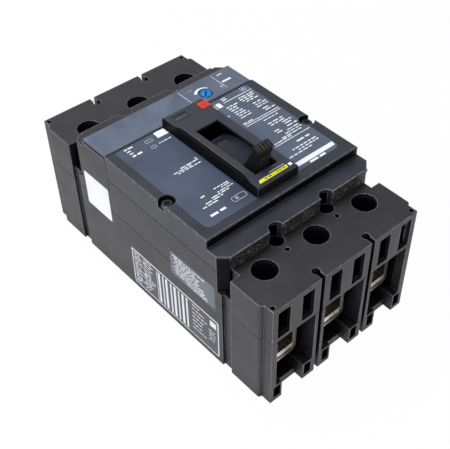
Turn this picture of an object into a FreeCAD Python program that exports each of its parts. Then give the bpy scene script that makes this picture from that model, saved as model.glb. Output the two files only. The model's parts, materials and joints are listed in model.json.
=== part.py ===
import FreeCAD, Part
import math
import os

# Three-pole moulded case circuit breaker, lying on its mounting face.
# Millimetres. X runs across the poles, -Y is the line end, +Y the load end, +Z the operating face.
# The origin is the centre of the mounting face.

Vector = FreeCAD.Vector

# Poles and mounting
pole_pitch = 35.0
pole_count = 3
side_relief = 0.4            # the case is this much narrower than its poles
mount_spacing_y = 125.0
case_length = 191.0
panel_bore_r = 2.8           # bore for the panel screw's shank
panel_head_r = 4.2           # bore for its head, from the front

# Heights of the mouldings
split_z = 48.0               # base to covers
deck_z = 71.0                # top of the cover under the front cover
lug_cover_z = 72.1
shelf_z = 81.0
face_z = 86.2
bezel_z = 92.3
floor_t = 3.0
wall_t = 2.5
cover_t = 2.2
seam_gap = 0.3               # shadow line moulded round each joint
part_gap = 0.5               # between the front cover and the trip unit

# Ends of the case
end_inset = 1.9
end_step = 8.1               # length of the narrower end
groove_inner = 1.5           # the side groove starts this far inside the mounting bores
groove_outer = 5.3           # and ends this far outside them
groove_deep = 6.0
groove_shallow = 1.5
groove_floor_z = 56.0
shelf_corner = 4.6
shelf_depth = 11.6           # of the low shelf ahead of the raised front cover
wing_z = 63.5                # the trip unit widens towards the line end below this height
wing_reach = 5.9

# Fields for stickers on the left side, as (y0, y1, z0, z1)
label_depth = 0.15
code_label = (-58.2, 16.6, 2.8, 31.6)
grey_label = (-56.2, -20.0, 40.0, 57.6)
blank_label = (32.2, 55.8, 38.0, 62.6)

# Terminal bays
bay_half = 14.2
bay_wall = 2.6
bay_floor_z = 5.0
bay_floor_inset = 5.5
barrier_slot = 2.8
barrier_hole_r = 2.25
barrier_inset = 5.5
foot_half = 7.5              # the feet start this far from the pole's middle
foot_z = 12.0
foot_wall = 0.9
foot_length = 15.0
foot_depth = 11.0
window_offset = 8.0
window_w = 8.2
window_z0 = 50.2
window_z1 = 69.0
lug_access_r = 6.85
lug_axis_out = 10.5          # lug screw, outside the mounting bores
guide_hole_r = 1.35
guide_hole_out = 8.0
corner_hole_r = 1.3
corner_hole_x = 3.8
corner_hole_y = 2.5
corner_post = 5.4

# Lugs and their screws
lug_w = 19.0
lug_z0 = 17.0
lug_top_z = 46.5
lug_wall = 2.6
lug_length = 24.8
lug_front = 14.6             # from the screw axis to the lug's front face
lug_chamfer = 2.6
lug_window_z = 37.6
lug_screw_r = 5.0
lug_screw_tip_z = 31.0
lug_screw_length = 19.0
lug_screw_travel = 6.0
hex_across = 5.0
hex_depth = 6.0

# Conductors
bar_w = 13.2
bar_t = 3.2
bar_z = 21.3                 # underside of the terminal bars
bar_proud = 0.4              # bar end ahead of the lug
bar_clear = 0.3

# Contacts and rotor
tip_w = 8.0
tip_l = 5.7
tip_t = 1.5
contact_gap = 0.3
contact_bar_w = 8.0
contact_bar_t = 3.5
contact_bar_half = 21.0
rotor_y = -13.5
rotor_r = 11.0
rotor_slot_clear = 0.2
rotor_open = 24.0
rod_r = 2.0
rod_offset = 7.4
crank_r = 17.5
crank_angle = 12.0
crank_half = 3.0
pin_clear = 0.05
running_gap = 0.4

# Pole cassettes and arc chutes
cassette_half = 14.5
cassette_t = 1.4
cassette_top_z = 43.0
cassette_end_gap = 0.9
pole_clear = 0.3
plate_t = 1.2
plate_pitch = 2.9
chute_gap = 1.2
board_t = 0.8
chute_half = 12.2

# Toggle
toggle_y = -13.5
toggle_z = 47.5
toggle_swing = 42.6
skirt_r = 42.1
skirt_t = 2.0
skirt_half = 8.3
skirt_angle = 49.0
grip_w0 = 13.4               # width and depth of the grip at its foot
grip_d0 = 11.2
grip_r1 = 47.0               # at its waist
grip_w1 = 11.2
grip_d1 = 10.2
grip_r2 = 61.4               # and at its top
grip_w2 = 10.0
grip_d2 = 5.2
grip_foot_in = 0.8
grip_lean = (0.3, 0.4, 2.0)
arm_x0 = 9.9
arm_t = 1.3
arm_w = 8.0
arm_bridge_r = 34.0
arm_bridge_t = 2.0
hub_w = 11.0
hub_d = 9.0

# Mechanism between its side plates
plate_x0 = 8.3
plate_x1 = 9.5
plate_y0 = -34.0
plate_y1 = 26.0
plate_top_z = 66.0
cradle_half = 1.3
cradle_pivot = (12.0, 52.0)
cradle_pin = (-8.0, 63.0)
cradle_nose = (19.8, 56.5)
upper_x = (1.6, 2.6)
lower_x = (2.9, 3.9)
upper_link = 8.5
lower_link = 10.5
eye_r = 3.0
knee_eye_r = 4.3
link_pin_r = 1.5
knee_slack = 1.2
spring_x = 6.1
spring_r = 1.9
spring_wire = 0.45
spring_end_gap = 0.3
latch_pivot = (24.0, 47.0)
latch_half = 4.0
latch_t = 2.0
latch_top_z = 58.0

# Bezel round the toggle
bezel_half = 13.8
bezel_y0 = -45.0
bezel_wall = 1.8
bezel_top = 1.8
bezel_edge = 0.9
bezel_lip_z = 83.5
slot_half = 7.6
slot_y0 = -36.5
slot_y1 = 10.1
window_y = (22.0, 27.6)
window_x = (-10.0, -0.7)
window_sunk = 0.4

# Push-to-trip button
button_x0 = 7.5
button_y = (21.9, 28.5)
button_proud = 0.4
button_t = 3.6
button_stem_x = 10.8
button_stem_r = 1.6
button_stem_z = 66.0
button_shelf = (83.4, 85.4)
button_travel = 2.5
button_spring_r = 2.3
button_spring_wire = 0.3

# Trip unit
trip_depth = 30.8            # from the mounting bores back to the front cover
trip_plate_depth = 20.4
trip_plate_t = 2.2
trip_plate_inset = 1.0
trip_bar_y = 52.0
trip_bar_z = 62.0
trip_bar_r = 2.5
trip_arm_z = 53.5
trip_arm_half = 2.6
lever_x = (9.3, 12.3)
lever_y = 24.2
riser_z = 34.6
heater_drop = 5.4            # from the trip unit's inner end wall to the drop bar
bimetal_t = 1.2
bimetal_w = 8.0
bimetal_gap = 0.8
bimetal_foot = 3.0
bimetal_top_z = 58.0
yoke_y = (41.0, 46.6)
yoke_t = 2.2
yoke_inner = 8.4
yoke_top_z = 51.6
armature_t = 1.4
armature_gap = 2.2
armature_half = 10.6
joint_bolt_y = 34.8
joint_bolt_r = 2.5
joint_head_r = 4.2
joint_head_t = 3.6
riser_end_y = 39.0
dial_from_wall = 3.1
dial_y = 38.9
dial_r = 3.75
dial_gap = 0.35
dial_stem_r = 2.0
dial_cam_r = 2.0
dial_cam_offset = 0.8
dial_cam_z = (75.5, 78.0)

# Fasteners
cover_screw_y = -16.5
cover_screw_in = 3.8         # from the case side to the screw axis
cover_screw_head_r = 3.35
cover_screw_head_t = 2.2
cover_screw_seat_z = 82.4
cover_screw_shank_r = 1.9
cover_screw_end_z = 60.0
cover_screw_bore_r = 4.5
boss_t = 2.0
case_screw_head_r = 2.6
case_screw_head_t = 2.0
case_screw_sunk = 0.6
case_screw_end_z = 66.0
driver_slot = 0.9
driver_depth = 1.1
cross_half = 1.7

# Positions that follow from the sizes above
half_w = (pole_pitch * pole_count - side_relief) / 2
half_l = case_length / 2
mount_x = pole_pitch / 2
mount_y = mount_spacing_y / 2
poles = [pole_pitch * (i - (pole_count - 1) / 2) for i in range(pole_count)]
webs = [pole_pitch * (i + 1 - pole_count / 2) for i in range(pole_count - 1)]
groove_y0 = mount_y - groove_inner
groove_y1 = mount_y + groove_outer
bay_y = mount_y - 0.5
inner_y = bay_y - bay_wall
shelf_y = mount_y - 0.2
front_y = -(shelf_y - shelf_depth)
trip_y = mount_y - trip_depth
cover_y1 = trip_y - part_gap
trip_plate_y1 = trip_y + trip_plate_depth
lug_y = mount_y + lug_axis_out
lug_front_y = lug_y + lug_front
rotor_z = bar_z + bar_t + 2 * tip_t + contact_gap + contact_bar_t / 2
room_half = cassette_half + pole_clear
cassette_y0 = -(inner_y - cassette_end_gap)
cassette_y1 = cover_y1 - bay_wall - cassette_end_gap
dial_x = poles[-1] - room_half + dial_from_wall
toggle_on = toggle_swing / 2


def box(x0, x1, y0, y1, z0, z1):
    return Part.makeBox(x1 - x0, y1 - y0, z1 - z0, Vector(x0, y0, z0))


def prism_x(points, x0, x1):
    """Outline of (y, z) points, from x0 to x1."""
    loop = [Vector(x0, y, z) for y, z in points]
    return Part.Face(Part.makePolygon(loop + loop[:1])).extrude(Vector(x1 - x0, 0, 0))


def prism_y(points, y0, y1):
    """Outline of (x, z) points, from y0 to y1."""
    loop = [Vector(x, y0, z) for x, z in points]
    return Part.Face(Part.makePolygon(loop + loop[:1])).extrude(Vector(0, y1 - y0, 0))


def prism_z(points, z0, z1):
    """Outline of (x, y) points, from z0 to z1."""
    loop = [Vector(x, y, z0) for x, y in points]
    return Part.Face(Part.makePolygon(loop + loop[:1])).extrude(Vector(0, 0, z1 - z0))


def post(x, y, z0, z1, r):
    return Part.makeCylinder(r, z1 - z0, Vector(x, y, z0), Vector(0, 0, 1))


def hexagon(x, y, z0, z1, r):
    """Upright hexagon with its corners at the distance r."""
    corners = [math.radians(60 * k) for k in range(6)]
    return prism_z([(x + r * math.cos(a), y + r * math.sin(a)) for a in corners], z0, z1)


def rod(x0, x1, y, z, r):
    return Part.makeCylinder(r, x1 - x0, Vector(x0, y, z), Vector(1, 0, 0))


def fuse(shapes):
    first, rest = shapes[0], shapes[1:]
    return first.multiFuse(rest).removeSplitter() if rest else first


def cut(shape, tools):
    return shape.cut(Part.makeCompound(tools)).removeSplitter()


def mirrored(shape, axis):
    return shape.mirror(Vector(0, 0, 0), Vector(1, 0, 0) if axis == "x" else Vector(0, 1, 0))


def both_sides(shapes):
    return shapes + [mirrored(s, "x") for s in shapes]


def both_ends(shapes):
    return shapes + [mirrored(s, "y") for s in shapes]


def moved(shape, x=0.0, y=0.0, z=0.0):
    copy = shape.copy()
    copy.translate(Vector(x, y, z))
    return copy


def turned(shape, degrees, y, z):
    """Turned about an X axis through (y, z); positive takes the top towards +Y."""
    copy = shape.copy()
    copy.rotate(Vector(0, y, z), Vector(-1, 0, 0), degrees)
    return copy


def end_relief(z0, z1):
    """What the narrow end leaves free at the +X, +Y corner, with its rounded step."""
    step_y = half_l - end_step
    narrow = box(half_w - end_inset, half_w + 1, step_y + end_inset, half_l + 1, z0, z1)
    corner = box(half_w - end_inset, half_w + 1, step_y, step_y + end_inset, z0, z1)
    rounding = post(half_w - end_inset, step_y, z0 - 1, z1 + 1, end_inset)
    return [narrow, corner.cut(rounding)]


def barrier_slot_cut(x, z0, z1):
    """Slot with a round root that holds a barrier between two poles, at the +Y end."""
    root_y = half_l - barrier_inset
    slot = box(x - barrier_slot / 2, x + barrier_slot / 2, root_y, half_l + 1, z0, z1)
    return [slot, post(x, root_y, z0, z1, barrier_hole_r)]


def seam_line(x0, x1, y0, y1, z0, z1):
    """Shallow frame round a joint, cut from the outside of a moulding."""
    outer = box(x0 - 5, x1 + 5, y0 - 5, y1 + 5, z0, z1)
    return outer.cut(box(x0 + seam_gap, x1 - seam_gap, y0 + seam_gap, y1 - seam_gap, z0, z1))


def label_field(label, z0, z1):
    """Shallow field for a sticker on the left side, between two heights."""
    low, high = max(label[2], z0), min(label[3], z1)
    return box(-half_w - 1, -half_w + label_depth, label[0], label[1], low, high)


def wing(gap, z0):
    """Sloped flank of the trip unit that reaches under the front cover, at the +X side."""
    points = [(trip_y + 1, wing_z + gap), (trip_y - part_gap, wing_z + gap),
              (trip_y - wing_reach - gap, z0), (trip_y + 1, z0)]
    return prism_x(points, half_w - wall_t, half_w)


def bay_feet(x):
    """Two hollow feet at the bottom corners of one bay, at the +Y end."""
    y0 = half_l - foot_length
    feet = []
    for side in (-1, 1):
        low, high = sorted((x + side * foot_half, x + side * bay_half))
        feet.append(box(low, high, y0, half_l, 0, foot_z))
    return feet


def foot_hollows(x):
    y0 = half_l - foot_depth
    hollows = []
    for side in (-1, 1):
        edges = sorted((x + side * (foot_half + foot_wall), x + side * (bay_half - foot_wall)))
        hollows.append(box(edges[0], edges[1], y0, half_l + 1, 2.5, foot_z - foot_wall))
    return hollows


def corner_posts(z0, z1):
    """Solid corners that take the small corner screws, at the +Y end."""
    inner = half_w - end_inset - 3.5
    outer = half_w - end_inset
    return both_sides([box(inner, outer, half_l - corner_post, half_l, z0, z1)])


def bar_window(x, z0, y0, y1):
    """Clear way for a conductor bar whose underside is at z0."""
    half = bar_w / 2 + bar_clear
    return box(x - half, x + half, y0, y1, z0 - bar_clear, z0 + bar_t + bar_clear)


def mount_bosses(z0, z1):
    return both_sides([post(mount_x, mount_y, z0, z1, panel_head_r + boss_t)])


def make_base():
    body = box(-half_w, half_w, -half_l, half_l, 0, split_z)
    bays = []
    keep = []
    trims = []
    for x in poles:
        bays.append(box(x - bay_half, x + bay_half, bay_y, half_l + 1, bay_floor_z, split_z + 1))
        keep += bay_feet(x)
        trims.append(box(x - foot_half, x + foot_half, half_l - bay_floor_inset, half_l + 1, -1, 6))
        trims += foot_hollows(x)
        trims.append(bar_window(x, bar_z, inner_y - 1, bay_y + 1))
    keep += corner_posts(0, split_z) + mount_bosses(0, split_z)
    bay_cut = Part.makeCompound(bays).cut(Part.makeCompound(keep))
    for x in webs:
        trims += barrier_slot_cut(x, -1, split_z + 1)
        trims.append(post(x, mount_y, -1, split_z + 1, panel_bore_r))
        trims.append(post(x, mount_y + guide_hole_out, -1, split_z + 1, guide_hole_r))
        trims.append(post(x, mount_y + guide_hole_out, -1, case_screw_sunk + case_screw_head_t,
                          case_screw_head_r + 0.2))
    corner = (half_w - corner_hole_x, half_l - corner_hole_y)
    trims += both_sides([post(corner[0], corner[1], split_z - 12, split_z + 1, corner_hole_r)])
    trims += both_sides(end_relief(-1, split_z + 1))
    groove = box(half_w - groove_shallow, half_w + 1, groove_y0, groove_y1, -1, split_z + 1)
    trims += both_sides([groove])
    tools = both_ends([bay_cut] + trims)
    for x in poles:
        tools.append(box(x - room_half, x + room_half, -inner_y, inner_y, floor_t, split_z + 1))
    swing = rod_offset + rod_r + running_gap
    for x in webs:
        tools.append(rod(x - mount_x, x + mount_x, rotor_y, rotor_z, swing))
        tools.append(box(x - mount_x, x + mount_x, rotor_y - swing, rotor_y + swing,
                         rotor_z, split_z + 1))
    tools += [label_field(label, 0, split_z + 1) for label in (code_label, grey_label, blank_label)]
    return cut(body, tools)


def lug_cover_tools(z_top):
    """Everything cut from a cover over the lugs at the +Y end."""
    tools = []
    for x in poles:
        narrow = box(x - lug_w / 2 - 0.4, x + lug_w / 2 + 0.4, bay_y, groove_y1 + 1.6,
                     split_z - 1, z_top - cover_t)
        wide = box(x - bay_half, x + bay_half, groove_y1 + 1.6, half_l - cover_t,
                   split_z - 1, z_top - cover_t)
        keep = corner_posts(split_z - 1, z_top) + mount_bosses(split_z - 1, z_top)
        tools += [narrow.cut(Part.makeCompound(keep)), wide.cut(Part.makeCompound(keep))]
        tools.append(post(x, lug_y, split_z, z_top + 1, lug_access_r))
        for side in (-1, 1):
            middle = x + side * window_offset
            tools.append(box(middle - window_w / 2, middle + window_w / 2,
                             half_l - cover_t - 1, half_l + 1, window_z0, window_z1))
    for x in webs:
        tools += barrier_slot_cut(x, split_z - 1, z_top + 1)
        tools.append(post(x, mount_y, split_z - 1, face_z + 1, panel_head_r))
        tools.append(post(x, mount_y + guide_hole_out, split_z - 1, z_top + 1, guide_hole_r))
    corner = (half_w - corner_hole_x, half_l - corner_hole_y)
    tools += both_sides([post(corner[0], corner[1], split_z - 1, z_top + 1, corner_hole_r)])
    tools += both_sides(end_relief(split_z - 1, z_top + 1))
    deep = box(half_w - groove_deep, half_w + 1, groove_y0, groove_y1, groove_floor_z, face_z + 1)
    low = box(half_w - groove_shallow, half_w + 1, groove_y0, groove_y1, split_z - 1, face_z + 1)
    return tools + both_sides([deep, low])


def shelf_corner_cut(z0, z1):
    """Slanted corner of the shelf at the +X, +Y side."""
    points = [(half_w - shelf_corner - 0.4, shelf_y), (half_w, shelf_y - shelf_corner),
              (half_w + 1, shelf_y - shelf_corner), (half_w + 1, shelf_y + 1),
              (half_w - shelf_corner - 0.4, shelf_y + 1)]
    return prism_z(points, z0, z1)


def make_main_cover():
    lug_end = box(-half_w, half_w, -half_l, -bay_y + bay_wall, split_z, lug_cover_z)
    middle = box(-half_w, half_w, -groove_y1, cover_y1, split_z, deck_z)
    body = fuse([lug_end, middle])
    ends = [mirrored(tool, "y") for tool in lug_cover_tools(lug_cover_z)]
    step = box(-half_w - 1, half_w + 1, -shelf_y, cover_y1, deck_z, lug_cover_z + 1)
    tools = ends + [step]
    tools += [mirrored(s, "y") for s in both_sides([shelf_corner_cut(groove_floor_z, deck_z + 1)])]
    boss_x = half_w - cover_screw_in
    bosses = both_sides([post(boss_x, cover_screw_y, split_z, deck_z, cover_screw_shank_r + boss_t)])
    for x in poles:
        room = box(x - room_half, x + room_half, -inner_y, cover_y1 - bay_wall,
                   split_z - 1, deck_z - cover_t)
        tools.append(room.cut(Part.makeCompound(bosses)))
    tools.append(box(-arm_x0 - arm_t - 1, arm_x0 + arm_t + 1, -inner_y + 2, 8.0,
                     split_z, deck_z + 1))
    tools.append(box(-skirt_half - 0.5, skirt_half + 0.5, 0, cover_y1 - bay_wall, split_z, deck_z + 1))
    tools.append(post(button_stem_x, sum(button_y) / 2, split_z, deck_z + 1, button_stem_r + 0.6))
    tools.append(box(lever_x[0] - 0.6, lever_x[1] + 0.6, 20, cover_y1 + 1, 58.0, deck_z - cover_t))
    tools += both_sides([post(boss_x, cover_screw_y, cover_screw_end_z - 1, deck_z + 1,
                              cover_screw_shank_r + pin_clear)])
    tools.append(seam_line(-half_w, half_w, -half_l, cover_y1 + 9, split_z, split_z + seam_gap))
    tools.append(label_field(grey_label, split_z, deck_z))
    tools += both_sides([wing(part_gap, split_z)])
    return cut(body, tools)


def make_front_cover():
    shelf = box(-half_w, half_w, -shelf_y, front_y, deck_z, shelf_z)
    raised = box(-half_w, half_w, front_y, cover_y1, deck_z, face_z)
    body = fuse([shelf, raised])
    edges = [e for e in body.Edges if on_top_rim(e, face_z)]
    body = body.makeChamfer(0.5, edges)
    tools = [mirrored(s, "y") for s in both_sides([shelf_corner_cut(deck_z - 1, shelf_z + 1)])]
    tools.append(box(-half_w + wall_t, half_w - wall_t, front_y + wall_t, cover_y1 - wall_t,
                     deck_z - 1, face_z - cover_t))
    tools.append(box(-half_w + 7, half_w - 7, -shelf_y + wall_t, front_y + wall_t + 1,
                     deck_z - 1, shelf_z - cover_t))
    side = bezel_half + 0.2
    tools.append(box(-side, side, bezel_y0 - 0.2, cover_y1 + 1, deck_z - 1, face_z + 1))
    boss_x = half_w - cover_screw_in
    column = box(boss_x - 6, half_w, cover_screw_y - 6, cover_screw_y + 6, deck_z, face_z)
    column = column.common(post(boss_x, cover_screw_y, deck_z, face_z, cover_screw_bore_r + boss_t))
    hollow = Part.makeCompound(tools).cut(Part.makeCompound(both_sides([column])))
    finish = [hollow]
    finish += both_sides([post(boss_x, cover_screw_y, cover_screw_seat_z, face_z + 1,
                               cover_screw_bore_r)])
    finish += both_sides([post(boss_x, cover_screw_y, deck_z - 1, face_z + 1,
                               cover_screw_shank_r + 0.3)])
    for x in webs:
        finish.append(post(x, -mount_y, deck_z - 1, face_z + 1, panel_head_r))
    finish.append(seam_line(-half_w, half_w, -shelf_y, cover_y1 + 9, deck_z, deck_z + seam_gap))
    return cut(body, finish)


def on_top_rim(edge, z):
    return all(abs(v.Z - z) < 0.01 for v in edge.Vertexes)


def make_trip_case():
    head = box(-half_w, half_w, trip_y, trip_plate_y1, split_z, face_z - trip_plate_t)
    shelf = box(-half_w, half_w, trip_plate_y1 - 1, shelf_y, split_z, shelf_z)
    lug_end = box(-half_w, half_w, shelf_y - 1, half_l, split_z, lug_cover_z)
    body = fuse([head, shelf, lug_end] + both_sides([wing(0, split_z)]))
    tools = lug_cover_tools(lug_cover_z)
    tools.append(label_field(blank_label, split_z, shelf_z))
    tools += both_sides([shelf_corner_cut(groove_floor_z, shelf_z + 1)])
    for x in poles:
        tools.append(box(x - room_half, x + room_half, trip_y + bay_wall, inner_y,
                         split_z - 1, shelf_z - cover_t))
    tools.append(rod(-half_w + wall_t, half_w - wall_t, trip_bar_y, trip_bar_z, trip_bar_r + pin_clear))
    tools.append(box(lever_x[0] - 0.6, lever_x[1] + 0.6, trip_y - 1, trip_y + bay_wall + 1,
                     58.0, deck_z - cover_t))
    tools.append(post(dial_x, dial_y, dial_cam_z[1], face_z + 1, dial_stem_r + pin_clear))
    tools.append(seam_line(-half_w, half_w, trip_y - wing_reach - 9, half_l, split_z, split_z + seam_gap))
    return cut(body, tools)


def make_trip_plate():
    half = half_w - trip_plate_inset
    body = box(-half, half, trip_y, trip_plate_y1, face_z - trip_plate_t, face_z)
    edges = [e for e in body.Edges if on_top_rim(e, face_z)]
    body = body.makeChamfer(0.7, edges)
    return cut(body, [post(dial_x, dial_y, face_z - trip_plate_t - 1, face_z + 1, dial_r + dial_gap)])


def make_bezel():
    body = box(-bezel_half, bezel_half, bezel_y0, cover_y1, deck_z, bezel_z)
    edges = [e for e in body.Edges if on_top_rim(e, bezel_z)]
    body = body.makeChamfer(bezel_edge, edges)
    inner = bezel_half - bezel_wall
    stem_y = sum(button_y) / 2
    shelf_block = box(button_x0 - 0.8, inner, button_y[0] - 1.2, cover_y1, button_shelf[0], bezel_z)
    hollow = box(-inner, inner, bezel_y0 + bezel_wall, cover_y1 - bezel_wall,
                 deck_z - 1, bezel_z - bezel_top)
    hollow = hollow.cut(shelf_block)
    tools = [hollow]
    tools.append(box(-inner, inner, bezel_y0 - 1, bezel_y0 + bezel_wall + 1, deck_z - 1, bezel_lip_z))
    tools.append(box(-slot_half, slot_half, slot_y0, slot_y1, bezel_z - bezel_top - 1, bezel_z + 1))
    tools.append(box(button_x0, bezel_half + 1, button_y[0], button_y[1], button_shelf[1], bezel_z + 1))
    tools.append(post(button_stem_x, stem_y, deck_z, bezel_z, button_stem_r + pin_clear))
    tools.append(box(window_x[0], window_x[1], window_y[0], window_y[1],
                     bezel_z - window_sunk, bezel_z + 1))
    return cut(body, tools)


def make_button():
    stem_y = sum(button_y) / 2
    top = bezel_z + button_proud
    cap = box(button_x0 + 0.25, bezel_half - 0.3, button_y[0] + 0.25, button_y[1] - 0.25,
              top - button_t, top)
    cap = cap.makeChamfer(0.3, [e for e in cap.Edges if on_top_rim(e, top)])
    return fuse([cap, post(button_stem_x, stem_y, button_stem_z, top - button_t + 1, button_stem_r)])


def spring_sleeve(r, wire, length):
    """Close-wound spring standing on the origin along +Z, as the sleeve that its turns fill."""
    outer = Part.makeCylinder(r, length)
    return outer.cut(Part.makeCylinder(r - 2 * wire, length))


def make_button_spring():
    length = bezel_z + button_proud - button_t - button_shelf[1]
    spring = spring_sleeve(button_spring_r, button_spring_wire, length)
    return moved(spring, button_stem_x, sum(button_y) / 2, button_shelf[1])


def make_toggle():
    """Grip, curved skirt and hub, drawn upright over its pivot and turned to ON."""
    y, z = toggle_y, toggle_z
    ring = rod(-skirt_half, skirt_half, y, z, skirt_r)
    ring = ring.cut(rod(-skirt_half, skirt_half, y, z, skirt_r - skirt_t))
    reach = skirt_r * 2
    spread = math.radians(skirt_angle)
    wedge = [(y, z), (y - reach * math.sin(spread), z + reach * math.cos(spread)),
             (y + reach * math.sin(spread), z + reach * math.cos(spread))]
    skirt = ring.common(prism_x(wedge, -skirt_half, skirt_half))
    sections = []
    for r, w, d, lean in ((skirt_r - grip_foot_in, grip_w0, grip_d0, grip_lean[0]),
                          (grip_r1, grip_w1, grip_d1, grip_lean[1]),
                          (grip_r2, grip_w2, grip_d2, grip_lean[2])):
        mid = y + lean
        loop = [Vector(-w / 2, mid - d / 2, z + r), Vector(w / 2, mid - d / 2, z + r),
                Vector(w / 2, mid + d / 2, z + r), Vector(-w / 2, mid + d / 2, z + r)]
        sections.append(Part.makePolygon(loop + loop[:1]))
    grip = Part.makeLoft(sections, True, True)
    hub_z0 = z + arm_bridge_r
    hub = box(-hub_w / 2, hub_w / 2, y - hub_d / 2, y + hub_d / 2, hub_z0, z + skirt_r - 1)
    return turned(fuse([skirt, grip, hub]), -toggle_on, y, z)


def make_toggle_arm():
    y, z = toggle_y, toggle_z
    top = z + arm_bridge_r
    leg = box(arm_x0, arm_x0 + arm_t, y - arm_w / 2, y + arm_w / 2, z, top)
    leg = leg.fuse(rod(arm_x0, arm_x0 + arm_t, y, z, arm_w / 2))
    reach = arm_x0 + arm_t
    bridge = box(-reach, reach, y - arm_w / 2, y + arm_w / 2, top - arm_bridge_t, top)
    arm = fuse(both_sides([leg]) + [bridge])
    bore = rod(-reach - 1, reach + 1, y, z, link_pin_r + pin_clear)
    return turned(cut(arm, [bore]), -toggle_on, y, z)


def make_side_plate(x0, x1):
    low = cassette_top_z
    points = [(plate_y0, low), (plate_y1, low), (plate_y1, low + 9), (plate_y1 - 10, plate_top_z - 4),
              (4.0, plate_top_z), (-20.0, plate_top_z), (plate_y0, low + 10)]
    plate = prism_x(points, x0, x1)
    holes = [rod(x0 - 1, x1 + 1, y, z, link_pin_r) for y, z in
             ((toggle_y, toggle_z), cradle_pivot, latch_pivot)]
    holes.append(rod(x0 - 1, x1 + 1, -24.0, 54.0, 3.0))
    return cut(plate, holes)


def link_plate(a, b, r_a, r_b, x0, x1):
    """Flat link between the points a and b, with ends cropped to an octagon round each."""
    length = math.hypot(b[0] - a[0], b[1] - a[1])
    along = ((b[0] - a[0]) / length, (b[1] - a[1]) / length)
    outline = []
    for (cy, cz), r, start in ((b, r_b, -90.0), (a, r_a, 90.0)):
        reach = r / math.cos(math.radians(22.5))
        for k in range(4):
            turn = math.radians(start + 22.5 + 45 * k)
            c, n = reach * math.cos(turn), reach * math.sin(turn)
            outline.append((cy + c * along[0] - n * along[1], cz + c * along[1] + n * along[0]))
    return prism_x(outline, x0, x1)


def crank_point():
    angle = math.radians(crank_angle)
    return (rotor_y - crank_r * math.sin(angle), rotor_z + crank_r * math.cos(angle))


def knee_point():
    """Where the two links meet with the contacts closed, on the load side of the straight line."""
    (py, pz), (cy, cz) = cradle_pin, crank_point()
    span = math.hypot(cy - py, cz - pz)
    corner = math.acos((upper_link ** 2 + span ** 2 - lower_link ** 2) / (2 * upper_link * span))
    lean = math.atan2(cy - py, pz - cz) + corner
    return (py + upper_link * math.sin(lean), pz - upper_link * math.cos(lean))


def make_cradle():
    arm = link_plate(cradle_pivot, cradle_pin, 3.6, eye_r, -cradle_half, cradle_half)
    nose = link_plate(cradle_pivot, cradle_nose, 3.6, 1.8, -cradle_half, cradle_half)
    body = cut(fuse([arm, nose]), [rod(-3, 3, cradle_pivot[0], cradle_pivot[1], link_pin_r)])
    reach = upper_x[1] + 0.6
    return fuse([body, rod(-reach, reach, cradle_pin[0], cradle_pin[1], link_pin_r)])


def make_upper_links():
    knee = knee_point()
    link = link_plate(cradle_pin, knee, eye_r, eye_r, upper_x[0], upper_x[1])
    link = cut(link, [rod(0, 9, cradle_pin[0], cradle_pin[1], link_pin_r + pin_clear)])
    pin = rod(-spring_x - 1.5, spring_x + 1.5, knee[0], knee[1], link_pin_r)
    return fuse(both_sides([link]) + [pin])


def make_lower_links():
    knee = knee_point()
    link = link_plate(crank_point(), knee, eye_r, knee_eye_r, lower_x[0], lower_x[1])
    link = cut(link, [rod(0, 9, crank_point()[0], crank_point()[1], link_pin_r + pin_clear),
                      rod(0, 9, knee[0], knee[1], link_pin_r + knee_slack)])
    return Part.makeCompound(both_sides([link]))


def make_latch():
    y, z = latch_pivot
    plate = box(-latch_half, latch_half, y - latch_t, y, z - 2, latch_top_z)
    hub = rod(-latch_half, latch_half, y, z, 2.6)
    return cut(fuse([plate, hub]), [rod(-9, 9, y, z, link_pin_r + pin_clear)])


def make_pins():
    cradle = rod(-plate_x1, plate_x1, cradle_pivot[0], cradle_pivot[1], link_pin_r)
    latch = rod(-plate_x1, plate_x1, latch_pivot[0], latch_pivot[1], link_pin_r)
    studs = both_sides([rod(plate_x0, arm_x0 + arm_t + 0.4, toggle_y, toggle_z, link_pin_r)])
    return Part.makeCompound([cradle, latch] + studs)


def make_main_springs():
    """Two springs from the knee pin to the bridge of the toggle arm."""
    knee = knee_point()
    angle = math.radians(toggle_on)
    reach = arm_bridge_r - arm_bridge_t - spring_end_gap
    top = (toggle_y - reach * math.sin(angle), toggle_z + reach * math.cos(angle))
    dy, dz = top[0] - knee[0], top[1] - knee[1]
    length = math.hypot(dy, dz)
    start = link_pin_r + spring_end_gap
    spring = spring_sleeve(spring_r, spring_wire, length - start - spring_end_gap)
    spring = moved(spring, z=start)
    spring.rotate(Vector(0, 0, 0), Vector(-1, 0, 0), math.degrees(math.atan2(dy, dz)))
    spring = moved(spring, spring_x, knee[0], knee[1])
    return Part.makeCompound(both_sides([spring]))


def make_rotor(x, cranked):
    length = cassette_half - 0.1
    body = rod(x - length, x + length, rotor_y, rotor_z, rotor_r)
    if cranked:
        foot = (rotor_y, rotor_z)
        crank = link_plate(foot, crank_point(), 6.0, eye_r, -crank_half / 1.25, crank_half / 1.25)
        body = fuse([body, crank])
    half = contact_bar_w / 2 + rotor_slot_clear
    tall = contact_bar_t / 2 + rotor_slot_clear
    tools = [box(x - half, x + half, rotor_y - 15, rotor_y + 15, rotor_z - tall, rotor_z + tall)]
    for side in (-1, 1):
        tools.append(rod(x - length - 1, x + length + 1, rotor_y, rotor_z + side * rod_offset,
                         rod_r + pin_clear))
    body = cut(body, tools)
    if cranked:
        y, z = crank_point()
        body = fuse([body, rod(-lower_x[1] - 0.5, lower_x[1] + 0.5, y, z, link_pin_r)])
    return body


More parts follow.
